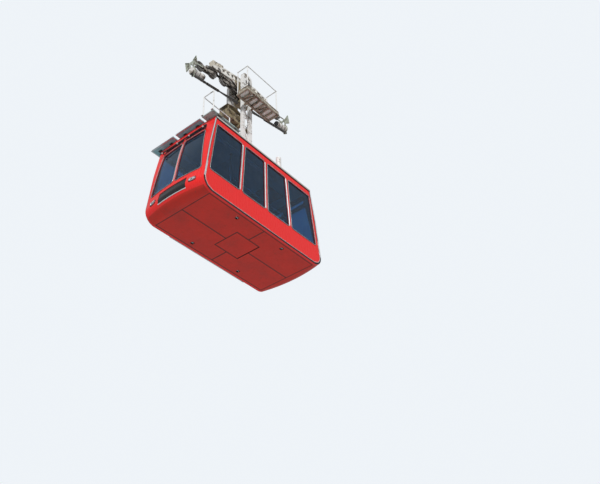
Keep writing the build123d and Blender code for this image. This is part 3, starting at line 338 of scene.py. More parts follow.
def tinted_safety_glass(name, tint, film):
    """See-through glass with a faint film of dust."""
    stuff, tree, shader, where = new_finish(name)
    dust = noise(tree, where, 4.0, 7.0, Roughness=0.65)
    feed(shader, Base_Color=blend_tones(tree, ((0.45, tint), (0.85, film)), dust), Transmission_Weight=0.96,
         Specular_IOR_Level=0.22, IOR=1.36, Roughness=ranged(tree, dust, 0.45, 0.9, 0.02, 0.16))
    return stuff


gasket_rubber = moulded_rubber("gasket_rubber", (0.012, 0.012, 0.013), (0.06, 0.06, 0.06))
# The filler metal is made part matt and pale, so that under the sun it shows a painted reflection of the sky
# besides its own metal sheen.
filler_with_painted_reflection = drawn_metal("filler_with_painted_reflection", (0.84, 0.85, 0.86), (0.70, 0.71, 0.72), 0.26, metallic=0.4)
cabin_glass = tinted_safety_glass("cabin_glass", (0.075, 0.21, 0.38), (0.15, 0.29, 0.43))
dress(cabin_glass, "side_glass", "end_glass", "door_glass_left", "door_glass_right")

for side, name, chosen in ((-1, "near", side_window_edges), (1, "far", side_window_edges[::3])):
    rubber_form, filler_form = bmesh.new(), bmesh.new()
    out = y_way * side
    stand = gasket_stand if side < 0 else flush_stand
    for foot_left, foot_right, head_left, head_right in chosen:
        low, high = side_sill - gasket_lap, side_head + gasket_lap
        line = rounded_outline(((foot_left - gasket_lap, low), (foot_right + gasket_lap, low),
                                (head_right + gasket_lap, high), (head_left - gasket_lap, high)),
                               side_window_corner + gasket_lap)
        outside = facing([cabin_point(u, side * half_width, v) for u, v in line], out)
        inside = facing([cabin_point(u, side * (half_width - wall), v) for u, v in line], -out)
        run_strip(rubber_form, outside, gasket_width, stand)
        run_strip(rubber_form, inside, gasket_width, gasket_stand)
        run_strip(filler_form, outside, filler_width, filler_stand, lift=stand - filler_sunk)
    fix_piece(f"side_gaskets_{name}", rubber_form, gasket_rubber)
    fix_piece(f"side_fillers_{name}", filler_form, filler_with_painted_reflection)


# Edge strips. A black moulded strip closes the joint of side wall and end all round, with a bright bead
# along its inner edge and a bright cover up its slope, widened to carry a painted highlight too. Bright
# strips up the near window posts are painted highlights. A black strip runs under the pale painted gutter.
strip_face, belly_end, belly_height = half_width + 0.010, 2.040, 0.051
strip_bend = ((belly_end, belly_height), (2.222, 0.130), (2.300, 0.245), (2.319, 0.352), (2.254, 0.900))
strip_slope = ((2.349, 0.365), (2.284, 0.900), (2.201, 1.600), (2.025, 2.612))
bead_width, cover_and_highlight_width, bead_stand = 0.014, 0.036, 0.002
belly_bead_width = 0.010
post_highlight_shift, post_highlight_margin, post_highlight_width, post_highlight_stand = 0.036, 0.03, 0.030, 0.011
gutter_half, gutter_height, under_gutter_width, under_gutter_stand = 2.005, 2.6275, 0.023, 0.018


def between(start, finish, steps):
    """Evenly spaced numbers or points from start to finish."""
    return [start + (finish - start) * (k / steps) for k in range(steps + 1)]


def straight_strip(form, start, finish, steps, out, width, stand, sunk=0.0):
    """Lays a strip along a straight line on a flat face, in equal stretches."""
    run_strip(form, facing(between(start, finish, steps), out), width, stand, sunk, closed=False)


dress(gasket_rubber, "edge_strips")
strip_form, under_gutter_form = bmesh.new(), bmesh.new()
for side in (-1, 1):
    out = y_way * side
    for end in (-1, 1):
        for line, width in ((strip_bend, bead_width), (strip_slope, cover_and_highlight_width)):
            points = [cabin_point(end * u, side * strip_face, v) for u, v in line]
            run_strip(strip_form, facing(points, out), width, bead_stand, closed=False)
    # A black strip runs along the wall just under the pale painted gutter.
    straight_strip(under_gutter_form, cabin_point(-gutter_half, side * half_width, gutter_height),
                   cabin_point(gutter_half, side * half_width, gutter_height), 4, out, under_gutter_width, under_gutter_stand)
straight_strip(strip_form, cabin_point(-belly_end, -strip_face, belly_height),
               cabin_point(belly_end, -strip_face, belly_height), 2, -y_way, belly_bead_width, bead_stand)
# Bright strips up the right edge of the first three near windows are painted highlights on the posts.
for foot_left, foot_right, head_left, head_right in side_window_edges[:3]:
    foot = cabin_point(foot_right + post_highlight_shift, -half_width, side_sill + post_highlight_margin)
    head = cabin_point(head_right + post_highlight_shift, -half_width, side_head - post_highlight_margin)
    straight_strip(strip_form, foot, head, 6, -y_way, post_highlight_width, post_highlight_stand)
fix_piece("strip_beads", strip_form, filler_with_painted_reflection)
fix_piece("gutter_black_strips", under_gutter_form, gasket_rubber)
gutter_tones = ((0.72, 0.70, 0.66), (0.66, 0.64, 0.60), (0.55, 0.53, 0.49))
dress(sprayed_paint("pale_gutter_paint", gutter_tones, (0.30, 0.27, 0.22), 0.42, 0.0, 0.15, 0.6), "gutters")


# Cabin ends. Bulged panels with two tall panes, two low panes over them, a blank black panel with three ribs
# in its recess above a bright lower trim, and a bright strip up the centre post, which is a painted
# highlight.
tall_window, low_window = (0.700, 2.260, 0.910, 0.780, 0.060), (2.360, 2.490, 0.772, 0.760, 0.025)
end_window_inner, end_lap, beyond_end = 0.045, 0.010, 3.2
panel_half, panel_trim_height, rib_half, rib_heights = 0.500, 0.198, 0.470, (0.300, 0.380, 0.460)
post_place, post_foot, post_head = 0.030, 0.760, 2.200
end_gasket_width, end_filler_width, end_filler_stand, sunk_in = 0.026, 0.008, 0.0025, 0.002
panel_trim_width, end_post_highlight_width, trim_stand, rib_width, rib_stand = 0.022, 0.024, 0.008, 0.010, 0.001


def seat_on_end(end, y, height, name="end_wall"):
    """Point and outward direction on an end's solid, at a place across it and a height."""
    if name == "end_wall":
        name += "_right" if end > 0 else "_left"
    spot, normal = solid[name].ray_cast(cabin_point(end * beyond_end, y, height), x_way * -end)[1:3]
    return spot, normal if normal.x * end > 0 else -normal


def row_on_end(end, start, finish, steps, name="end_wall"):
    """Seats in a straight row between two (across, height) places."""
    return [seat_on_end(end, u, v, name) for u, v in between(Vector(start), Vector(finish), steps)]


def ring_on_end(end, outline, longest):
    """Seats round a closed (across, height) outline, with no stretch longer than a limit."""
    seats = []
    for index, point in enumerate(outline):
        following = outline[(index + 1) % len(outline)]
        steps = max(1, math.ceil((following - point).length / longest))
        seats += row_on_end(end, point, following, steps)[:-1]
    return seats


for end, name in ((-1, "left"), (1, "right")):
    rubber_form, filler_form = bmesh.new(), bmesh.new()
    for window in (tall_window, low_window):
        foot, head, outer_foot, outer_head, corner = window
        low, high = foot - end_lap, head + end_lap
        for side in (-1, 1):
            inner = side * (end_window_inner - end_lap)
            outer_low, outer_high = side * (outer_foot + end_lap), side * (outer_head + end_lap)
            outline = rounded_outline(((inner, low), (outer_low, low), (outer_high, high), (inner, high)),
                                      corner + end_lap)
            seats = ring_on_end(end, outline, 0.12)
            run_strip(rubber_form, seats, end_gasket_width, gasket_stand, 0.004)
            if window is tall_window:
                run_strip(filler_form, seats, end_filler_width, end_filler_stand, 0.001, lift=gasket_stand)
    row = row_on_end(end, (-panel_half, panel_trim_height), (panel_half, panel_trim_height), 16)
    run_strip(filler_form, row, panel_trim_width, trim_stand, sunk_in, closed=False)
    for height in rib_heights:
        row = row_on_end(end, (-rib_half, height), (rib_half, height), 16, "end_panels")
        run_strip(rubber_form, row, rib_width, rib_stand, sunk_in, closed=False)
    # The bright strip up the right side of the centre post is a painted highlight.
    row = row_on_end(end, (post_place, post_foot), (post_place, post_head), 12)
    run_strip(filler_form, row, end_post_highlight_width, trim_stand, sunk_in, closed=False)
    fix_piece(f"end_gaskets_{name}", rubber_form, gasket_rubber)
    fix_piece(f"end_trims_{name}", filler_form, filler_with_painted_reflection)
panel_tones = ((0.010, 0.010, 0.012), (0.014, 0.014, 0.016), (0.03, 0.03, 0.03))
black_gloss_panel = sprayed_paint("black_gloss_panel", panel_tones, (0.10, 0.09, 0.08), 0.22, 0.3, 0.05, 0.25)
dress(black_gloss_panel, "end_panels")


# Head lamps. Two round lamps side by side in each pod, with a chromed bezel, a dished reflector and a domed
# clear lens; the pod is a painted pressing on a rubber seat.
lamp_y, lamp_height, lamp_half_length, lamp_half_width, pod_seal_lap = 0.710, 0.370, 0.105, 0.059, 0.004
lens_radius, lens_pitch = 0.040, 0.100
bezel_steps = ((0.006, -0.002), (0.006, 0.004), (0.003, 0.008), (-0.003, 0.007), (-0.006, 0.001))


def circle(middle, first, second, radius, count, turn=0.0):
    """Points round a circle in the plane of two directions, turned on by a part of a step."""
    angles = [math.tau * (k + turn) / count for k in range(count)]
    return [middle + (first * math.cos(angle) + second * math.sin(angle)) * radius for angle in angles]


def turned(form, spot, out, outline, sides=20):
    """Skins a turned part standing on a spot: outline is (radius, height) pairs from its seat outward."""
    across = out.orthogonal().normalized()
    around = out.cross(across)
    skin(form, [circle(spot + out * height, across, around, radius, sides) for radius, height in outline])


def hexagon_bolt(form, spot, out, size):
    """Bolt head on a round washer, with a chamfered crown."""
    washer = ((size * 0.66, -0.001), (size * 0.66, size * 0.09), (size * 0.60, size * 0.12))
    head = ((size * 0.5, size * 0.06), (size * 0.5, size * 0.38), (size * 0.41, size * 0.46))
    turned(form, spot, out, washer, 16)
    turned(form, spot, out, head, 6)


def rounded_rectangle(u, v, half_u, half_v, radius, steps=7):
    """Outline of a rectangle with round corners about a middle."""
    corners = [(u + a * half_u, v + b * half_v) for a, b in ((-1, -1), (1, -1), (1, 1), (-1, 1))]
    return rounded_outline(corners, radius, steps)


chrome = drawn_metal("lamp_chrome", (0.82, 0.83, 0.84), (0.70, 0.71, 0.72), 0.12)
lens_glass = tinted_safety_glass("lens_glass", (0.86, 0.88, 0.90), (0.78, 0.80, 0.80))
pod_tones = ((0.50, 0.50, 0.52), (0.44, 0.44, 0.46), (0.34, 0.34, 0.35))
dress(sprayed_paint("lamp_pod_paint", pod_tones, (0.20, 0.17, 0.14), 0.25, 0.1, 0.1, 0.5, 0.6), "end_lamps")
bezel_form, lens_form, pod_seal_form = bmesh.new(), bmesh.new(), bmesh.new()
bezel = [(lens_radius + grow, height) for grow, height in bezel_steps] + [(0.012, -0.001)]
dome_radius = lens_radius - 0.004
dome = [(dome_radius, 0.003)]
dome += [(dome_radius * math.cos(t), 0.005 + 0.010 * math.sin(t)) for t in (0.3, 0.6, 0.9, 1.2, 1.45)]
for end in (-1, 1):
    for side in (-1, 1):
        for shift in (-0.5, 0.5):
            spot, out = seat_on_end(end, side * lamp_y + shift * lens_pitch, lamp_height, "end_lamps")
            turned(bezel_form, spot, out, bezel, 32)
            turned(lens_form, spot, out, dome, 32)
        outline = rounded_rectangle(side * lamp_y, lamp_height, lamp_half_length + pod_seal_lap,
                                    lamp_half_width + pod_seal_lap, 0.03)
        run_strip(pod_seal_form, ring_on_end(end, outline, 0.05), 0.010, 0.006, 0.002)
fix_piece("lamp_bezels", bezel_form, chrome)
fix_piece("lamp_lenses", lens_form, lens_glass)
fix_piece("lamp_pod_seals", pod_seal_form, gasket_rubber)


# Underside. A welded red pan with a rescue hatch in its middle. Its seams are filled with black sealant, and
# four square pockets with a cross pin take the clamps that steady the cabin in a station.
hatch_x = (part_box("floor_hatch")[0].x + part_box("floor_hatch")[1].x) / 2 - pin.x
hatch_half_length, hatch_half_width, hatch_gap = 0.440, 0.400, 0.003
seam_end, seam_side, seam_depth, far_off = 2.060, 0.960, 0.0041, 9.0
sealant_width, sealant_stand = 0.0088, 0.0036
pocket_x, pocket_y, pocket_half, pocket_depth = 0.895, 0.805, 0.050, 0.045
cross_pin_half, cross_pin_radius, cross_pin_height, cheek_shift = 0.044, 0.008, 0.022, 0.030
sealant_black = (0.03, 0.018, 0.014)


def seam_marks(tree, where, under):
    """Darkens the paint beside the underside's seams, where sealant and dirt have smeared over it."""
    apart = place(tree, "SeparateXYZ", Vector=where)

    def away_from(middle, axis):
        return worked(tree, "ABSOLUTE", worked(tree, "SUBTRACT", apart.outputs[axis], middle))

    def past_edge(x, half_x, y, half_y):
        past_x, past_y = worked(tree, "SUBTRACT", x, half_x), worked(tree, "SUBTRACT", y, half_y)
        return worked(tree, "MAXIMUM", past_x, past_y)

    along, across = away_from(pin.x, 0), away_from(0.0, 1)
    past_hatch = past_edge(away_from(pin.x + hatch_x, 0), hatch_half_length + hatch_gap, across,
                           hatch_half_width + hatch_gap)
    past_border = past_edge(along, seam_end, across, seam_side)
    not_crossed = worked(tree, "ADD", worked(tree, "LESS_THAN", past_hatch, 0.0),
                         worked(tree, "GREATER_THAN", past_border, 0.0))
    to_cross = worked(tree, "ADD", worked(tree, "MINIMUM", along, across),
                      worked(tree, "MULTIPLY", not_crossed, far_off))
    to_border = worked(tree, "ADD", worked(tree, "ABSOLUTE", past_border), 0.004)
    to_inner = worked(tree, "MINIMUM", worked(tree, "ABSOLUTE", past_hatch), to_cross)
    nearest = worked(tree, "MINIMUM", to_inner, to_border)
    return mixed(tree, ranged(tree, nearest, 0.010, 0.022, 0.92, 0.0), under, sealant_black)


def soft_block(form, middle, size, along=x_way, across=y_way, soft=0.002):
    """Block with eased edges, set by its middle, its three sizes and two of its directions."""
    sides = (along * size[0], across * size[1], along.cross(across) * size[2])
    turn = Matrix.Translation(middle) @ Matrix(sides).transposed().to_4x4()
    made = bmesh.ops.create_cube(form, size=1.0, matrix=turn)
    edges = list({edge for vert in made["verts"] for edge in vert.link_edges})
    bmesh.ops.bevel(form, geom=edges, offset=min(soft, min(size) * 0.3), segments=1, affect="EDGES")


# The underside's red is a darker copy of the coach red: painted shade, for the pan faces the ground.
shaded_underside_tones = ((0.70, 0.026, 0.012), (0.62, 0.026, 0.014), (0.48, 0.030, 0.018))
underside_red_painted_shade = sprayed_paint("underside_red_painted_shade", shaded_underside_tones, (0.16, 0.06, 0.04), 0.42, 0.0, 0.2, 0.5,
                              mark=seam_marks)
dress(underside_red_painted_shade, "floor_pan", "floor_hatch")
seam_form, pocket_form, pocket_pin_form = bmesh.new(), bmesh.new(), bmesh.new()
seams = [((-seam_end, y), (seam_end, y)) for y in (-seam_side, seam_side)]
seams += [((x, -seam_side), (x, seam_side)) for x in (-seam_end, seam_end)]
for sign in (-1, 1):
    seams.append(((sign * hatch_half_length * 1.03 + hatch_x, 0), (sign * seam_end, 0)))
    seams.append(((0, sign * hatch_half_width * 1.03), (0, sign * seam_side)))
for start, finish in seams:
    straight_strip(seam_form, cabin_point(*start, seam_depth), cabin_point(*finish, seam_depth), 4, -up,
                   sealant_width, sealant_stand)
for x in (-pocket_x, pocket_x):
    for y in (-pocket_y, pocket_y):
        outline = rounded_rectangle(x, y, pocket_half - 0.003, pocket_half - 0.003, 0.004, 3)
        liner = facing([cabin_point(u, v, pocket_depth - 0.0005) for u, v in outline], -up)
        run_strip(pocket_form, liner, 0.004, pocket_depth - 0.002)
        soft_block(pocket_form, cabin_point(x, y, pocket_depth - 0.003), (0.094, 0.094, 0.004))
        turned(pocket_pin_form, cabin_point(x - cross_pin_half, y, cross_pin_height), x_way,
               ((cross_pin_radius, 0), (cross_pin_radius, cross_pin_half * 2)), 16)
        for shift in (-cheek_shift, cheek_shift):
            soft_block(pocket_pin_form, cabin_point(x + shift, y, 0.027), (0.008, 0.040, 0.028))
fix_piece("underside_seams", seam_form, gasket_rubber)
fix_piece("pocket_liners", pocket_form, gasket_rubber)
fix_piece("pocket_pins", pocket_pin_form, chrome)


# Roof panels. Two framed photovoltaic panels on bearers across the roof: aluminium frame, dark cells under
# glass on top, and a backing sheet below with two junction boxes. The backing's blue-grey, low in red, is
# painted shade and sky reflection, and it paints out the red light thrown on it from the end wall.
panel_spans = ((-0.620, 0.310), (0.410, 1.290))
frame_width, frame_depth, frame_proud, cell_margin, cell_gap = 0.030, 0.0374, 0.0004, 0.035, 0.006
cells_along, cells_across = 7, 5
panel_low, panel_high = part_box("roof_panels")


def backing_painted_shade_and_sky(name, tone, line_tone, pitch):
    """Backing sheet with the faint grid of the cells showing through it."""
    stuff, tree, shader, where = new_finish(name)
    cells = place(tree, "TexBrick", offset=0.0, squash=1.0, Vector=where, Scale=1.0, Mortar_Size=0.004,
                  Brick_Width=pitch, Row_Height=pitch, Color1=tone, Color2=[part * 0.88 for part in tone],
                  Mortar=line_tone)
    grime = blend_tones(tree, ((0.3, (1, 1, 1)), (0.8, (0.72, 0.70, 0.66))), noise(tree, where, 6.0, 6.0))
    feed(shader, Base_Color=mixed(tree, 1.0, cells.outputs["Color"], grime, "MULTIPLY"), Roughness=0.55,
         Specular_IOR_Level=0.2)
    return stuff


# The backing's blue-grey, low in red, is painted shade and sky reflection, and it paints out the red light
# that the sunlit end wall throws on it.
dress(backing_painted_shade_and_sky("backing_painted_shade_and_sky", (0.30, 0.60, 0.68), (0.44, 0.70, 0.76), 0.156), "roof_panels")
frame_metal = drawn_metal("frame_metal", (0.62, 0.64, 0.66), (0.50, 0.52, 0.54), 0.34, (0.2, 8, 8))
cell_tones = ((0.010, 0.016, 0.040), (0.014, 0.022, 0.052), (0.03, 0.04, 0.07))
cell_glass = sprayed_paint("cell_glass", cell_tones, (0.16, 0.15, 0.13), 0.14, 0.4, 0.02, 0.3)
frame_form, cell_form, junction_form = bmesh.new(), bmesh.new(), bmesh.new()
left, right = panel_low.x, panel_high.x
frame_z = panel_high.z - 0.0181 + frame_proud
for near, far in panel_spans:
    long_bar = (right - left + 0.0008, 0.0299, frame_depth)
    short_bar = (0.0305, far - near - 0.062, frame_depth)
    for y in (near + frame_width / 2, far - frame_width / 2):
        soft_block(frame_form, Vector(((left + right) / 2, y, frame_z)), long_bar, soft=0.003)
    for x in (left + frame_width / 2, right - frame_width / 2):
        soft_block(frame_form, Vector((x, (near + far) / 2, frame_z)), short_bar, soft=0.003)
    pitch_x = (right - left - 2 * cell_margin) / cells_along
    pitch_y = (far - near - 2 * cell_margin) / cells_across
    for i in range(cells_along):
        for k in range(cells_across):
            x, y = left + cell_margin + pitch_x * (i + 0.5), near + cell_margin + pitch_y * (k + 0.5)
            soft_block(cell_form, Vector((x, y, panel_high.z + 0.0002)),
                       (pitch_x - cell_gap, pitch_y - cell_gap, 0.0012), soft=0.0003)
    for share in (0.25, 0.75):
        box = Vector((left + 0.16, near + (far - near) * share, panel_low.z + 0.001))
        soft_block(junction_form, box, (0.085, 0.110, 0.014), soft=0.003)
fix_piece("panel_frames", frame_form, frame_metal)
fix_piece("panel_cells", cell_form, cell_glass)
fix_piece("panel_junction_boxes", junction_form, gasket_rubber)


# Roof deck and its railing. A small galvanised landing over the near left corner, with anti-slip ribs. The
# welded tube railing is bolted down through small plates at its feet, and the roof post through a flange.
railing_feet, foot_bolt_shift = ((-1.180, -0.735), (-2.200, -0.735), (-2.200, -1.112)), 0.040
flange_radius, flange_bolts, flange_bolt_circle = 0.135, 8, 0.105


def roof_point(x, y):
    """Point on the roof's top."""
    return cabin_point(x, y, cabin_height)


def worn_paint(name, clean, worn, grime, share, roughness, scale=5.0):
    """Weathered paint on steelwork: clean areas, chalky wear, dark oily patches and sharp-cornered chips."""
    stuff, tree, shader, where = new_finish(name)
    patches = noise(tree, where, scale, 9.0, Roughness=0.68, Distortion=0.6)
    edge = 0.5 + (0.5 - share) * 0.4
    tones = ((edge - 0.16, clean), (edge - 0.03, clean), (edge + 0.01, worn), (edge + 0.08, grime))
    chips = place(tree, "TexVoronoi", feature="F1", Vector=where, Scale=scale * 9).outputs["Distance"]
    patchy = blend_tones(tree, tones, patches)
    colour = mixed(tree, ranged(tree, chips, 0.16, 0.05, 0.0, 0.75), patchy, grime)
    feed(shader, Base_Color=colour, Normal=raised(tree, patches, 0.35, 0.002),
         Roughness=ranged(tree, patches, 0.0, 1.0, roughness * 0.7, min(1.0, roughness * 1.5)))
    return stuff


zinc_deck = worn_paint("zinc_deck", (0.38, 0.48, 0.46), (0.28, 0.32, 0.30), (0.12, 0.11, 0.09), 0.36, 0.5)
railing_white = worn_paint("railing_white", (0.80, 0.79, 0.77), (0.60, 0.58, 0.54), (0.24, 0.20, 0.16),
                           0.30, 0.4, 9.0)
galvanised_bolt = drawn_metal("galvanised_bolt", (0.46, 0.46, 0.45), (0.28, 0.25, 0.22), 0.42)
dress(zinc_deck, "roof_deck")
dress(railing_white, "roof_railing", "roof_post")
deck_low, deck_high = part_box("roof_deck")
rib_form, foot_form = bmesh.new(), bmesh.new()
for x in between(deck_low.x + 0.05, deck_high.x - 0.05, 13):
    soft_block(rib_form, Vector((x, (deck_low.y + deck_high.y) / 2, deck_high.z + 0.002)),
               (0.018, deck_high.y - deck_low.y - 0.06, 0.006))
for x, y in railing_feet:
    plate = Vector((pin.x + x, max(y, deck_low.y + 0.031), deck_high.z + 0.004))
    soft_block(foot_form, plate, (0.110, 0.060, 0.010))
    for shift in (-foot_bolt_shift, foot_bolt_shift):
        hexagon_bolt(foot_form, plate + Vector((shift, 0, 0.005)), up, 0.018)
roof_post_foot = roof_point(0.920, -0.775)
for spot in circle(roof_post_foot + up * 0.012, x_way, y_way, flange_bolt_circle, flange_bolts, 0.5):
    hexagon_bolt(foot_form, spot, up, 0.024)
turned(foot_form, roof_post_foot, up, ((flange_radius, -0.001), (flange_radius, 0.012), (0.080, 0.013)), 32)
fix_piece("deck_ribs", rib_form, zinc_deck)
fix_piece("roof_foot_fixings", foot_form, galvanised_bolt)


# Roof skin. Standing seams stiffen the sheet, the hatch has two lift handles and a turn lock, and a row of
# screws holds each of the roof's long edges.
roof_top, seam_width, seam_stand, screw_steps = cabin_foot + cabin_height, 0.030, 0.014, 24
roof_seams = (((-0.780, 0.50), (-0.780, 0.98), 4), ((0.780, 0.50), (0.780, 0.98), 4),
              ((0.66, 0.50), (1.92, 0.50), 6))
screw_end, screw_inset = 1.92, 0.032
lock_x, handle_x, handle_half, handle_y, handle_lift = 1.010, 1.040, 0.05, 0.16, 0.047


def pipe(form, points, radius, bend=0.04, sides=12):
    """Round pipe along a line of points, each corner eased by a curve."""
    eased = [points[0]]
    for before, here, after in zip(points, points[1:], points[2:]):
        back, on = before - here, after - here
        reach = min(bend, back.length * 0.45, on.length * 0.45)
        start, end = here + back.normalized() * reach, here + on.normalized() * reach
        eased += [start.lerp(here, t).lerp(here.lerp(end, t), t) for t in between(0.0, 1.0, 5)]
    eased.append(points[-1])
    side = (eased[1] - eased[0]).orthogonal().normalized()
    rings = []
    for index, point in enumerate(eased):
        along = (eased[min(index + 1, len(eased) - 1)] - eased[max(index - 1, 0)]).normalized()
        side = (side - along * side.dot(along)).normalized()
        rings.append(circle(point, side, along.cross(side), radius, sides))
    skin(form, rings)


def bow_handle(form, first_foot, second_foot, lift, radius, bend):
    """Handle bent from rod, with both feet let into a surface."""
    pipe(form, [first_foot, first_foot + lift, second_foot + lift, second_foot], radius, bend)


seam_form, hatch_form, screw_form = bmesh.new(), bmesh.new(), bmesh.new()
for side in (-1, 1):
    for (x1, y1), (x2, y2), steps in roof_seams:
        straight_strip(seam_form, roof_point(x1, side * y1), roof_point(x2, side * y2), steps, up,
                       seam_width, seam_stand, 0.001)
    for x in between(-screw_end, screw_end, screw_steps):
        turned(screw_form, roof_point(x, side * (half_width - screw_inset)), up,
               ((0.008, -0.001), (0.008, 0.002), (0.005, 0.004)), 12)
above_lid = Vector((pin.x + 1.100, 0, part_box("roof_hatch")[1].z + 1))
lid_seat = solid["roof_hatch"].ray_cast(above_lid, -up)[1].z
for y in (-handle_y, handle_y):
    first_foot, second_foot = (Vector((pin.x + handle_x, y + shift, lid_seat - 0.002))
                               for shift in (-handle_half, handle_half))
    bow_handle(hatch_form, first_foot, second_foot, up * handle_lift, 0.006, 0.015)
lock = Vector((pin.x + lock_x, 0, lid_seat))
turned(hatch_form, lock, up, ((0.030, -0.001), (0.030, 0.008), (0.012, 0.010), (0.012, 0.024)), 24)
soft_block(hatch_form, lock + up * 0.028, (0.020, 0.090, 0.010))
fix_piece("roof_seams", seam_form, red_coach_paint)
fix_piece("roof_hatch_fittings", hatch_form, galvanised_bolt, "roof_hatch")
fix_piece("roof_screws", screw_form, galvanised_bolt)


# Sliding doors. Each leaf has a rubber gasket round its pane, a soft edge where the leaves meet, a bent rod
# pull and a riveted kick plate; the rail over them is painted steel.
door_face, leaf_thickness, pull_foot, pull_head, kick_height = 1.096, 0.038, 0.98, 1.28, 0.30
leaf_edge_length, pull_inset, pull_reach, pull_radius = 1.94, 0.060, 0.038, 0.010
kick_plate, kick_rivet_x, kick_rivet_z = (0.56, 0.004, 0.26), 0.26, 0.11
door_steel = drawn_metal("door_steel", (0.36, 0.36, 0.36), (0.28, 0.28, 0.27), 0.45, (4, 4, 0.3), 0.8)
for name, side in (("left", -1), ("right", 1)):
    low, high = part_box(f"door_glass_{name}")
    leaf_low, leaf_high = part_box(f"door_{name}")
    gasket_form, fitting_form = bmesh.new(), bmesh.new()
    outline = rounded_rectangle((low.x + high.x) / 2, (low.z + high.z) / 2, (high.x - low.x) / 2,
                                (high.z - low.z) / 2, 0.06)
    for face, out, stand in ((door_face, y_way, 0.008), (door_face - leaf_thickness, -y_way, 0.0022)):
        run_strip(gasket_form, facing([Vector((u, face, v)) for u, v in outline], out), 0.026, stand)
    edge_x = leaf_low.x if side > 0 else leaf_high.x
    foot = Vector((edge_x + side * 0.012, door_face, leaf_low.z + 0.06))
    straight_strip(gasket_form, foot, foot + up * leaf_edge_length, 6, y_way, 0.020, 0.006)
    first_foot, second_foot = (Vector((edge_x + side * pull_inset, door_face - 0.002, cabin_foot + height))
                               for height in (pull_foot, pull_head))
    bow_handle(fitting_form, first_foot, second_foot, y_way * pull_reach, pull_radius, 0.025)
    kick_middle = Vector(((leaf_low.x + leaf_high.x) / 2, door_face + 0.001, cabin_foot + kick_height))
    soft_block(fitting_form, kick_middle, kick_plate, soft=0.001)
    for u in (-kick_rivet_x, kick_rivet_x):
        for v in (-kick_rivet_z, kick_rivet_z):
            turned(fitting_form, kick_middle + Vector((u, 0.002, v)), y_way,
                   ((0.007, -0.001), (0.007, 0.0015), (0.004, 0.003)), 12)
    fix_piece(f"door_gaskets_{name}", gasket_form, gasket_rubber, f"door_{name}")
    fix_piece(f"door_fittings_{name}", fitting_form, door_steel, f"door_{name}")
dress(worn_paint("track_paint", (0.56, 0.56, 0.55), (0.44, 0.43, 0.41), (0.16, 0.13, 0.10), 0.30, 0.4, 7.0),
      "door_rails")


# End rails, grab poles and hand rail. Black painted rails outside and brushed stainless tube inside, with
# black grip sleeves where hands hold the poles and bright ferrules where each rail meets its bracket.
rail_x, rail_height, rail_brackets = 2.212, 2.337, (-0.770, -0.250, 0.200, 0.790)
pole_x, pole_y, sleeve_foot, pole_cup_foot = 0.780, 0.430, 1.10, 2.530
brushed_tube = drawn_metal("brushed_tube", (0.66, 0.66, 0.66), (0.54, 0.54, 0.53), 0.22, (6, 6, 0.3))
rail_black = worn_paint("rail_black", (0.03, 0.03, 0.03), (0.06, 0.055, 0.05), (0.14, 0.12, 0.10),
                        0.25, 0.4, 8.0)
dress(rail_black, "end_rails")
dress(brushed_tube, "grab_poles", "hand_rail")
ferrule_form, sleeve_form = bmesh.new(), bmesh.new()
for sign in (-1, 1):
    for y in rail_brackets:
        turned(ferrule_form, cabin_point(sign * rail_x, y - 0.021, rail_height), y_way,
               ((0.019, 0), (0.0215, 0.002), (0.0215, 0.040), (0.019, 0.042)), 24)
    for y in (-pole_y, pole_y):
        turned(sleeve_form, cabin_point(sign * pole_x, y, sleeve_foot), up,
               ((0.0195, 0), (0.023, 0.004), (0.023, 0.446), (0.0195, 0.450)), 24)
        turned(sleeve_form, cabin_point(sign * pole_x, y, pole_cup_foot), up,
               ((0.019, 0), (0.040, 0.010), (0.044, 0.022), (0.044, 0.0295)), 24)
fix_piece("end_rail_ferrules", ferrule_form, filler_with_painted_reflection)
fix_piece("pole_sleeves", sleeve_form, gasket_rubber)


# Inside finish. Pale laminate below the windows and overhead, ribbed dark floor covering, and two diffused
# ceiling lights; all are screwed sheets set clear of the doors and hatches.
inner_face, lining_height, lining_middle = half_width - wall, 0.50, 0.41
ceiling, floor_top, sheet_thickness, covering_thickness, rib_pitch = 2.556, 0.1215, 0.006, 0.004, 0.07
ceiling_sheets = ((-1.94, -0.66, -0.98, 0.98), (-0.65, 0.885, -0.98, 0.98), (1.60, 1.94, -0.98, 0.98),
                  (0.8925, 1.5925, -0.97, -0.37), (0.8925, 1.5925, 0.37, 0.97))
floor_sheets = ((-2.05, -0.62, -0.98, 0.98), (0.62, 2.05, -0.98, 0.98), (-0.61, 0.61, -0.98, -0.55),
                (-0.61, 0.61, 0.55, 0.98))
light_left, light_right, light_height, light_width, light_depth = -1.70, 0.80, 2.553, 0.10, 0.030
laminate = sprayed_paint("laminate", ((0.62, 0.63, 0.63), (0.57, 0.58, 0.58), (0.48, 0.48, 0.47)),
                         (0.25, 0.23, 0.20), 0.45, 0.0, 0.1, 0.35)
ribbed_floor = moulded_rubber("ribbed_floor", (0.035, 0.037, 0.042), (0.09, 0.085, 0.08), 0.7)
light_cover = sprayed_paint("light_cover", ((0.86, 0.87, 0.86), (0.84, 0.85, 0.84), (0.78, 0.78, 0.76)),
                            (0.5, 0.48, 0.42), 0.3, 0.0, 0.05, 0.2)


def lay_sheet(form, left, right, near, far, height, thickness):
    """Flat sheet in the cabin, set by its four edges, its middle height and its thickness."""
    middle = cabin_point((left + right) / 2, (near + far) / 2, height)
    soft_block(form, middle, (right - left, far - near, thickness), soft=0.001)


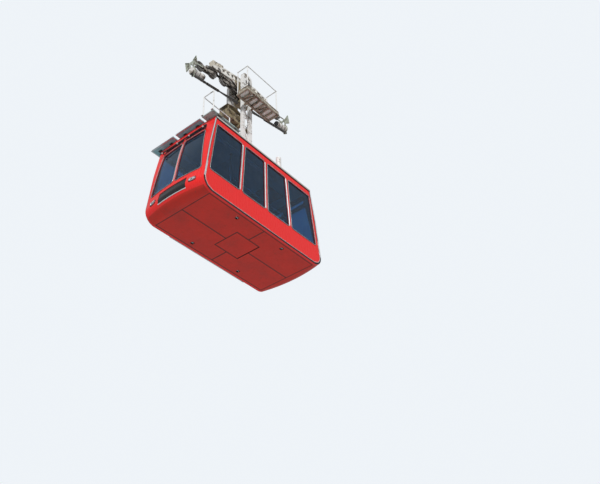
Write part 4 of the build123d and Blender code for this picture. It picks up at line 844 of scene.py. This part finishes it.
lining_form, covering_form, cover_form = bmesh.new(), bmesh.new(), bmesh.new()
for side, length, places in ((-1, 0.850, between(-1.72, 1.72, 4)), (1, 1.34, (-1.47, 1.47))):
    for x in places:
        soft_block(lining_form, cabin_point(x, side * (inner_face - 0.003), lining_middle),
                   (length, sheet_thickness, lining_height), soft=0.001)
for edges in ceiling_sheets:
    lay_sheet(lining_form, *edges, ceiling, sheet_thickness)
for left, right, near, far in floor_sheets:
    lay_sheet(covering_form, left, right, near, far, floor_top, covering_thickness)
    ribs = int((far - near) / rib_pitch)
    for k in range(ribs):
        y = near + (far - near) * (k + 0.5) / ribs
        lay_sheet(covering_form, left + 0.02, right - 0.02, y - 0.006, y + 0.006, floor_top + 0.003, 0.003)
for y in (-0.62, 0.62):
    straight_strip(cover_form, cabin_point(light_left, y, light_height),
                   cabin_point(light_right, y, light_height), 8, -up, light_width, light_depth)
fix_piece("inside_linings", lining_form, laminate)
fix_piece("floor_covering", covering_form, ribbed_floor)
fix_piece("ceiling_lights", cover_form, light_cover)


# Hanger. Two welded legs in white paint that oil and weather have blotched, bolted to a base frame on the
# roof; bolted caps close the pin's ends, and gusset plates join the lacing to the chords.
hanger_white = worn_paint("hanger_white", (0.82, 0.81, 0.79), (0.52, 0.49, 0.45), (0.12, 0.095, 0.07),
                          0.34, 0.45, 3.4)
machinery_brown = worn_paint("machinery_brown", (0.27, 0.22, 0.13), (0.17, 0.13, 0.08), (0.045, 0.034, 0.026),
                             0.48, 0.5, 6.0)
oiled_steel = drawn_metal("oiled_steel", (0.14, 0.135, 0.13), (0.055, 0.048, 0.042), 0.42, metallic=0.7)
dress(hanger_white, "hanger_leg_near", "hanger_leg_far", "hanger_base")
dress(oiled_steel, "hanger_pin")
dress(machinery_brown, "cross_beams")
leg_inner, leg_outer, leg_bottom, base_bolt_x = 0.250, 0.350, cabin_foot + 2.800, 0.44
lacing_top, lacing_bays, gusset_x = pin.z - 0.355, 7, 0.135
cap_bolts, cap_bolt_circle, cap_proud = 9, 0.118, 0.026
gusset_size = (0.130, 0.008, 0.150)
gusset_bolts = ((-0.038, -0.048), (0.038, -0.048), (-0.038, 0.048), (0.038, 0.048))
foot_bolts, base_bolt_steps, base_bolt_margin = (-0.16, -0.055, 0.055, 0.16), (0.035, 0.085), 0.030
leg_bolt_form, gusset_form = bmesh.new(), bmesh.new()
for side in (-1, 1):
    out = y_way * side
    face = side * leg_outer
    for height in between(leg_bottom + 0.060, lacing_top, lacing_bays):
        for chord in (-1, 1):
            spot = Vector((pin.x + chord * gusset_x, face, min(height + 0.038, lacing_top - 0.05)))
            soft_block(gusset_form, spot + out * 0.003, gusset_size, soft=0.003)
            for u, v in gusset_bolts:
                hexagon_bolt(leg_bolt_form, spot + Vector((u, side * 0.007, v)), out, 0.022)
    for spot in circle(Vector((pin.x, face, pin.z)), x_way, up, cap_bolt_circle, cap_bolts):
        hexagon_bolt(leg_bolt_form, spot, out, 0.020)
    turned(leg_bolt_form, Vector((pin.x, side * (leg_outer + cap_proud), pin.z)), out,
           ((0.050, -0.001), (0.050, 0.010), (0.042, 0.014), (0.018, 0.014), (0.014, 0.022)), 32)
    for u in foot_bolts:
        hexagon_bolt(leg_bolt_form, Vector((pin.x + u, face, leg_bottom + 0.030)), out, 0.026)
    for end in (-1, 1):
        for u in base_bolt_steps:
            for y in (leg_inner - base_bolt_margin, leg_outer + base_bolt_margin):
                spot = Vector((pin.x + end * (base_bolt_x + u), side * y, leg_bottom))
                hexagon_bolt(leg_bolt_form, spot, up, 0.028)
fix_piece("hanger_bolts", leg_bolt_form, galvanised_bolt)
fix_piece("hanger_gussets", gusset_form, hanger_white)


# Hydraulic unit. A brown sheet steel box with louvred vents, a finned motor on top under a small canopy, and
# steel pipes that run in clips down the hanger to the roof.
dress(machinery_brown, "hydraulic_unit")
unit_middle = Vector((pin.x - 0.390, 0, pin.z - 1.813))
louvres, louvre_pitch, louvre_size, cover_screw_end = 6, 0.027, (0.200, 0.012, 0.010), 0.27
pipe_x, pipe_spread, pipe_height, pipe_step = 0.652, 1.9, 0.10, 0.03
pipe_places, pipe_radius, pipe_clips, clip_pitch = (-0.150, -0.125, 0.125, 0.150), 0.009, 4, 0.26
vent_form, pipe_form, unit_bolt_form = bmesh.new(), bmesh.new(), bmesh.new()
for side in (-1, 1):
    for k in range(louvres):
        for block in (-0.150, 0.150):
            soft_block(vent_form, unit_middle + Vector((block, side * 0.1925, 0.07 + louvre_pitch * k)),
                       louvre_size, soft=0.003)
    for x in between(-cover_screw_end, cover_screw_end, 5):
        hexagon_bolt(unit_bolt_form, unit_middle + Vector((x, side * 0.190, 0.268)), y_way * side, 0.016)
for y in between(-0.096, 0.096, 8):
    soft_block(vent_form, unit_middle + Vector((0, y, 0.345)), (0.152, 0.006, 0.144))
for x in (-0.300, 0.300):
    soft_block(vent_form, unit_middle + Vector((x, 0, 0.150)), (0.008, 0.300, 0.200))
turned(unit_bolt_form, unit_middle + Vector((-0.23, 0.10, 0.290)), up,
       ((0.026, -0.001), (0.026, 0.030), (0.020, 0.036)), 20)
for index, y in enumerate(pipe_places):
    start = unit_middle + Vector((0.298, y, pipe_height + pipe_step * index))
    turn_down = unit_middle + Vector((pipe_x, y, pipe_height + pipe_step * index))
    spread = Vector((turn_down.x, y * pipe_spread, unit_middle.z - 0.15))
    lower = Vector((turn_down.x, y * pipe_spread, leg_bottom + 0.26))
    pipe(pipe_form, [start, turn_down, spread, lower, Vector((lower.x - 0.01, lower.y, roof_top + 0.001))],
         pipe_radius, 0.08, 10)
    for k in range(pipe_clips):
        clip = Vector((lower.x - 0.022, lower.y, leg_bottom + 0.36 + clip_pitch * k))
        soft_block(unit_bolt_form, clip, (0.062, 0.034, 0.022), soft=0.004)
fix_piece("unit_vents", vent_form, machinery_brown)
fix_piece("unit_pipes", pipe_form, oiled_steel)
fix_piece("unit_fixings", unit_bolt_form, galvanised_bolt)


# Work platform. Welded bars with a ribbed tread sheet, a toe board round three sides, and a tube railing in
# sockets; sun, oil and rust have turned the bars brown and the sheet a dirty pale grey. The sheet's grey is
# tinted blue-green and lightened, which paints out the red light and shade that the roof throws on it.
platform_beige = worn_paint("platform_beige", (0.36, 0.31, 0.24), (0.22, 0.17, 0.12), (0.08, 0.058, 0.04),
                            0.42, 0.55, 6.5)
# The tread's blue-green, light grey paints out the red bounce light and shade from the roof.
tread_grey_painted_cool = worn_paint("tread_grey_painted_cool", (0.88, 0.98, 0.94), (0.72, 0.76, 0.70), (0.24, 0.21, 0.17),
                        0.28, 0.55, 4.0)
dress(platform_beige, "platform")
dress(tread_grey_painted_cool, "platform_deck")
dress(railing_white, "platform_railing")
stage_low, stage_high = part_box("platform_deck")
toe_height, toe_thickness, toe_inset, rail_post_top = 0.100, 0.005, 0.006, pin.z - 0.105
rail_posts = ((-0.565, -0.460), (-0.565, -0.855), (0.800, -0.855), (0.800, -0.460))


def board_between(form, start, finish, out, lift, thickness, height, longer=0.0):
    """Flat board from one point to another, standing out from their line, its middle lifted off it."""
    run = (finish - start).normalized()
    size = ((finish - start).length + longer, thickness, height)
    soft_block(form, (start + finish) / 2 + out * lift, size, run, out.cross(run), soft=0.001)


tread_form, toe_form, stage_form = bmesh.new(), bmesh.new(), bmesh.new()
for x in between(stage_low.x + 0.03, stage_high.x - 0.03, 28):
    soft_block(tread_form, Vector((x, (stage_low.y + stage_high.y) / 2, stage_high.z + 0.003)),
               (0.012, stage_high.y - stage_low.y - 0.05, 0.008))
toe_line = [Vector((x, y, stage_high.z)) for x, y in (
    (stage_high.x - toe_inset, stage_high.y - 0.05), (stage_high.x - toe_inset, stage_low.y + 0.008),
    (stage_low.x + toe_inset, stage_low.y + 0.008), (stage_low.x + toe_inset, stage_high.y - 0.05))]
for start, finish in zip(toe_line, toe_line[1:]):
    board_between(toe_form, start, finish, up, toe_height / 2 - 0.001, toe_thickness, toe_height, 0.004)
for x, y in rail_posts:
    turned(stage_form, Vector((pin.x + x, y, stage_high.z)), up,
           ((0.024, -0.001), (0.024, 0.012), (0.0185, 0.016), (0.0185, 0.060)), 20)
    turned(stage_form, Vector((pin.x + x, y, rail_post_top)), up,
           ((0.0165, 0), (0.0195, 0.003), (0.0195, 0.030), (0.0165, 0.0335)), 20)
fix_piece("platform_treads", tread_form, tread_grey_painted_cool)
fix_piece("platform_toe_boards", toe_form, platform_beige)
fix_piece("platform_fixings", stage_form, galvanised_bolt)


# Carriage. Riveted side plates arch over two rockers, each with two bogies on greased pins; the paint is
# white on top and dark low down, partly from oil and partly as painted shade. Everything here is set along
# the rope and square to it.
wheel_joints = [joint for joint in frame["joints"] if joint["name"].startswith("wheel")]
axle = {joint["name"]: Vector(joint["pos_m"]) for joint in wheel_joints}
along_rope = (axle["wheel_8_spin"] - axle["wheel_1_spin"]).normalized()
off_rope = Vector((-along_rope.z, 0, along_rope.x))
girder_end, rivet_steps, rivet_size, lower_row = 1.26, 32, 0.010, 0.375
crown, crown_half, shoulder, shoulder_run = 0.640, 0.700, 0.460, 0.600
rocker_pin, rocker_pin_height, pin_cap_circle, pin_cap_bolts = 1.040, 0.395, 0.055, 6
stiffeners, stiffener_foot = (-1.200, -0.740, -0.520, -0.325, 0.325, 0.520, 0.740, 1.200), 0.400
pin_rings_half, rivet_free_half = 0.47, 0.10


def rope_point(station, y, height):
    """Point on the carriage: along the rope, across it, and square above it."""
    return along_rope * station + y_way * y + off_rope * height


def rivet(form, spot, out, size):
    """Round rivet head."""
    head = [(size * math.cos(t), size * 0.55 * math.sin(t)) for t in (0.0, 0.5, 0.95, 1.35)]
    turned(form, spot, out, head, 12)


def crown_height(station):
    """Height of the girder's upper edge, straight from its ends up to the flat crown."""
    return crown - (crown - shoulder) * max(0.0, abs(station) - crown_half) / shoulder_run


def met_from_side(name, station, side, height):
    """Point where a ray from one side, square to the rope, meets a solid; None if it misses."""
    found, spot = solid[name].ray_cast(rope_point(station, side, height), y_way * -side)[:2]
    return spot if found else None


carriage_white = worn_paint("carriage_white", (0.78, 0.76, 0.71), (0.46, 0.41, 0.35), (0.09, 0.07, 0.055),
                            0.38, 0.5)
dress(carriage_white, "main_girder")
rivet_form, girder_bolt_form, stiffener_form = bmesh.new(), bmesh.new(), bmesh.new()
for side in (-1, 1):
    out = y_way * side
    face = side * abs(met_from_side("main_girder", 0.90, side, 0.40).y)
    for station in between(-girder_end, girder_end, rivet_steps):
        rivet(rivet_form, rope_point(station, face, crown_height(station) - 0.030), out, rivet_size)
        if abs(station) > pin_rings_half and abs(abs(station) - rocker_pin) > rivet_free_half:
            rivet(rivet_form, rope_point(station, face, lower_row), out, rivet_size)
    for station in stiffeners:
        top = crown_height(station) - 0.055
        soft_block(stiffener_form, rope_point(station, face, (stiffener_foot + top) / 2) + out * 0.006,
                   (0.012, 0.016, top - stiffener_foot), along_rope)
    for station in (-rocker_pin, rocker_pin):
        middle = rope_point(station, face, rocker_pin_height)
        turned(girder_bolt_form, middle, out, ((0.075, -0.001), (0.075, 0.010), (0.068, 0.014)), 32)
        for spot in circle(middle + out * 0.013, along_rope, off_rope, pin_cap_circle, pin_cap_bolts):
            hexagon_bolt(girder_bolt_form, spot, out, 0.018)
fix_piece("girder_rivets", rivet_form, carriage_white, "carriage")
fix_piece("girder_stiffeners", stiffener_form, carriage_white, "carriage")
fix_piece("girder_pin_caps", girder_bolt_form, galvanised_bolt, "carriage")


# Wheels. They are cast in steel, dark with grease and worn by the rope. A ring of rivets on each face holds
# the cover of the bearing.
cover_circle, cover_rivets, cover_rivet_size = 0.062, 8, 0.006
cast_wheel = worn_paint("cast_wheel", (0.19, 0.18, 0.17), (0.12, 0.105, 0.09), (0.045, 0.038, 0.03),
                        0.50, 0.45, 12.0)
for wheel in (f"wheel_{k}" for k in range(1, 9)):
    dress(cast_wheel, wheel)
    hub = axle[f"{wheel}_spin"]
    cover_form = bmesh.new()
    for side in (-1, 1):
        out = y_way * side
        face = solid[wheel].ray_cast(hub + x_way * cover_circle + out * 0.3, -out)[1].y
        for spot in circle(Vector((hub.x, face, hub.z)), x_way, up, cover_circle, cover_rivets, 0.5):
            rivet(cover_form, spot, out, cover_rivet_size)
    fix_piece(wheel.replace("_", "_bolts_"), cover_form, oiled_steel, wheel)


# Guides, buffers and rope sockets. Folded lips stiffen the bow-tie plates, which are bolted to their arms;
# steel bands and rubber noses finish the buffers, and collars are pressed on the sockets.
plate_face, buffer_drop, haul_drop = 2.190, 0.235, 0.385
buffer_radius, buffer_end, socket_radius = 0.100, 2.250, 0.036
buffer_bands, socket_bands = (1.78, 1.95, 2.10), (1.70, 1.82, 2.05)
buffer_bolt_circle, buffer_bolts = 0.116, 8
lips = (((0.226, -0.125), (0.226, 0.205)), ((0.222, 0.200), (0.082, 0.1165)),
        ((0.222, -0.122), (0.092, -0.0575)))
plate_bolts = ((0.195, 0.150), (0.195, 0.020), (0.195, -0.085), (0.120, 0.060), (0.120, -0.030))
guide_green = worn_paint("guide_green", (0.40, 0.43, 0.36), (0.27, 0.27, 0.21), (0.09, 0.075, 0.055),
                         0.40, 0.5, 6.0)
dress(guide_green, "guide_left", "guide_right")
dress(carriage_white, "buffers")
dress(oiled_steel, "haul_socket_left", "haul_socket_right")
plate_bolt_form, nose_form, lip_form, collar_form = bmesh.new(), bmesh.new(), bmesh.new(), bmesh.new()


def collar(form, spot, out, radius, stand, slope, width, sides):
    """Band round a bar, with sloped edges."""
    turned(form, spot, out, ((radius - 0.001, 0), (radius + stand, slope), (radius + stand, width - slope),
                             (radius - 0.001, width)), sides)


for end in (-1, 1):
    away = along_rope * end
    for side in (-1, 1):
        for (y1, n1), (y2, n2) in lips:
            board_between(lip_form, rope_point(end * plate_face, side * y1, n1),
                          rope_point(end * plate_face, side * y2, n2), away, 0.010, 0.005, 0.022)
        for y, n in plate_bolts:
            hexagon_bolt(plate_bolt_form, rope_point(end * plate_face, side * y, n), away, 0.020)
    buffer_middle = rope_point(end * plate_face, 0, -buffer_drop)
    for spot in circle(buffer_middle, y_way, off_rope, buffer_bolt_circle, buffer_bolts, 0.5):
        hexagon_bolt(plate_bolt_form, spot, away, 0.016)
    for station in buffer_bands:
        spot = rope_point(end * station, 0, -buffer_drop)
        collar(collar_form, spot, away, buffer_radius, 0.004, 0.003, 0.020, 40)
    for station in socket_bands:
        spot = rope_point(end * station, 0, -haul_drop)
        collar(collar_form, spot, away, socket_radius, 0.006, 0.004, 0.030, 32)
    turned(nose_form, rope_point(end * 1.751, 0, -buffer_drop), -away,
           ((0.096, -0.004), (0.099, 0.006), (0.094, 0.020), (0.060, 0.030), (0.020, 0.032)), 40)
    turned(nose_form, rope_point(end * (buffer_end - 0.006), 0, -buffer_drop), away,
           ((0.088, 0), (0.088, 0.002), (0.060, 0.0055)), 40)
fix_piece("guide_lips", lip_form, guide_green, "carriage")
fix_piece("guide_bolts", plate_bolt_form, galvanised_bolt, "carriage")
fix_piece("buffer_noses", nose_form, gasket_rubber, "carriage")
fix_piece("socket_collars", collar_form, oiled_steel, "carriage")


# Draw rods, drop frame and track rope brake. Clamp bolts close the rods' clamps, and hexagon bolts hold the
# frame's plates; the brake's jaws are shut by coil springs on studs.
clamps, clamp_pitch, clamp_length, socket_inner, clamp_face = 6, 0.090, 0.055, 1.650, 0.040
frame_bolts = ((-0.28, 0.40), (0.28, 0.40), (-0.28, 0.29), (0.28, 0.29), (-0.20, -0.33), (0.20, -0.33),
               (-0.20, -0.42), (0.20, -0.42), (0, -0.34), (0, -0.43))
spring_radius, spring_wire, spring_length, spring_turns, turn_steps = 0.014, 0.003, 0.070, 6, 14
spring_station, spring_y, spring_foot = 0.150, 0.0925, 0.086
# The dark paint of the rockers, bogies and brake low on the carriage is partly oil and partly painted shade.
oily_and_shaded_frame = worn_paint("oily_and_shaded_frame", (0.36, 0.33, 0.29), (0.15, 0.125, 0.10), (0.035, 0.03, 0.025),
                        0.56, 0.42, 8.0)
dress(oiled_steel, "draw_rods")
dress(machinery_brown, "drop_frame")
dress(oily_and_shaded_frame, "rope_brake")
clamp_form, spring_form, frame_bolt_form = bmesh.new(), bmesh.new(), bmesh.new()
frame_face = abs(met_from_side("drop_frame", 0.28, -1, 0.40).y)


def coil_spring(form, spot, out):
    """Round-wire compression spring standing on a spot."""
    across = out.orthogonal().normalized()
    turns = circle(spot, across, out.cross(across), spring_radius, turn_steps)
    steps = spring_turns * turn_steps
    line = [turns[k % turn_steps] + out * (spring_length * k / steps) for k in range(steps + 1)]
    pipe(form, line, spring_wire, 0.0001, 6)


for side in (-1, 1):
    out = y_way * side
    for end in (-1, 1):
        for k in range(clamps):
            station = end * (socket_inner - 0.050 - clamp_pitch * k - clamp_length / 2)
            for shift in (-0.014, 0.014):
                spot = rope_point(station + shift, side * clamp_face, -haul_drop)
                hexagon_bolt(clamp_form, spot, out, 0.014)
    for station, n in frame_bolts:
        hexagon_bolt(frame_bolt_form, rope_point(station, side * frame_face, n), out, 0.030)
    for station in (-spring_station, spring_station):
        foot = rope_point(station, side * spring_y, spring_foot)
        coil_spring(spring_form, foot, off_rope)
        turned(spring_form, foot, off_rope, ((0.007, -0.002), (0.007, 0.078)), 12)
        hexagon_bolt(spring_form, foot + off_rope * 0.074, off_rope, 0.026)
fix_piece("rod_clamp_bolts", clamp_form, galvanised_bolt, "carriage")
fix_piece("drop_frame_bolts", frame_bolt_form, galvanised_bolt, "carriage")
fix_piece("brake_springs", spring_form, oiled_steel, "carriage")


# Control boxes. Cream sheet steel cabinets with a raised lid on each side, which hangs on two barrel hinges
# and is shut by two turn locks.
boxes, box_face = ((-1.130, 0.600, 0.230, 0.210), (-0.890, 0.650, 0.220, 0.150)), 0.090
box_cream = worn_paint("box_cream", (0.60, 0.55, 0.46), (0.38, 0.33, 0.26), (0.10, 0.08, 0.06),
                       0.42, 0.5, 7.0)
dress(box_cream, "control_boxes")
lid_form, lid_fitting_form = bmesh.new(), bmesh.new()
for station, n, length, height in boxes:
    for side in (-1, 1):
        out = y_way * side
        lid = rope_point(station, side * box_face, n + 0.004)
        lid_size = (length - 0.026, 0.012, height - 0.030)
        soft_block(lid_form, lid + out * 0.004, lid_size, along_rope, soft=0.004)
        for end in (-1, 1):
            lock = lid + along_rope * end * (length / 2 - 0.032) + out * 0.010
            turned(lid_fitting_form, lock, out, ((0.010, -0.002), (0.010, 0.004), (0.006, 0.008)), 16)
            hinge = lid + off_rope * (height / 2 - 0.020) + along_rope * (end * 0.055 - 0.02) + out * 0.008
            turned(lid_fitting_form, hinge, along_rope, ((0.006, 0), (0.006, 0.040)), 12)
fix_piece("control_box_lids", lid_form, box_cream, "carriage")
fix_piece("control_box_fittings", lid_fitting_form, galvanised_bolt, "carriage")


# Rockers and bogies. They swing on greased pins, which end in round caps with a nipple, and each wheel's
# axle ends in an eight-sided nut.
pin_stations, bogie_pin_height = (-1.560, -0.520, 0.520, 1.560), 0.235
wheel_pitch, wheel_height = 0.520, 0.1625
dress(oily_and_shaded_frame, "rocker_left", "rocker_right", "bogies")
pin_cap_form, axle_nut_form = bmesh.new(), bmesh.new()
for side in (-1, 1):
    out = y_way * side
    for station in pin_stations:
        rocker = "rocker_left" if station < 0 else "rocker_right"
        spot = met_from_side(rocker, station, side, bogie_pin_height)
        if spot:
            turned(pin_cap_form, rope_point(station, spot.y, bogie_pin_height), out,
                   ((0.034, -0.002), (0.034, 0.008), (0.028, 0.012), (0.008, 0.012), (0.006, 0.020)), 28)
    for station in ((k - 3.5) * wheel_pitch for k in range(8)):
        spot = met_from_side("bogies", station, side, wheel_height)
        if spot and abs(spot.y) > 0.05:
            turned(axle_nut_form, rope_point(station, spot.y, wheel_height), out,
                   ((0.024, -0.002), (0.024, 0.010), (0.019, 0.013), (0.007, 0.013), (0.005, 0.018)), 8)
fix_piece("bogie_pin_caps", pin_cap_form, galvanised_bolt, "carriage")
fix_piece("axle_nuts", axle_nut_form, oiled_steel, "carriage")
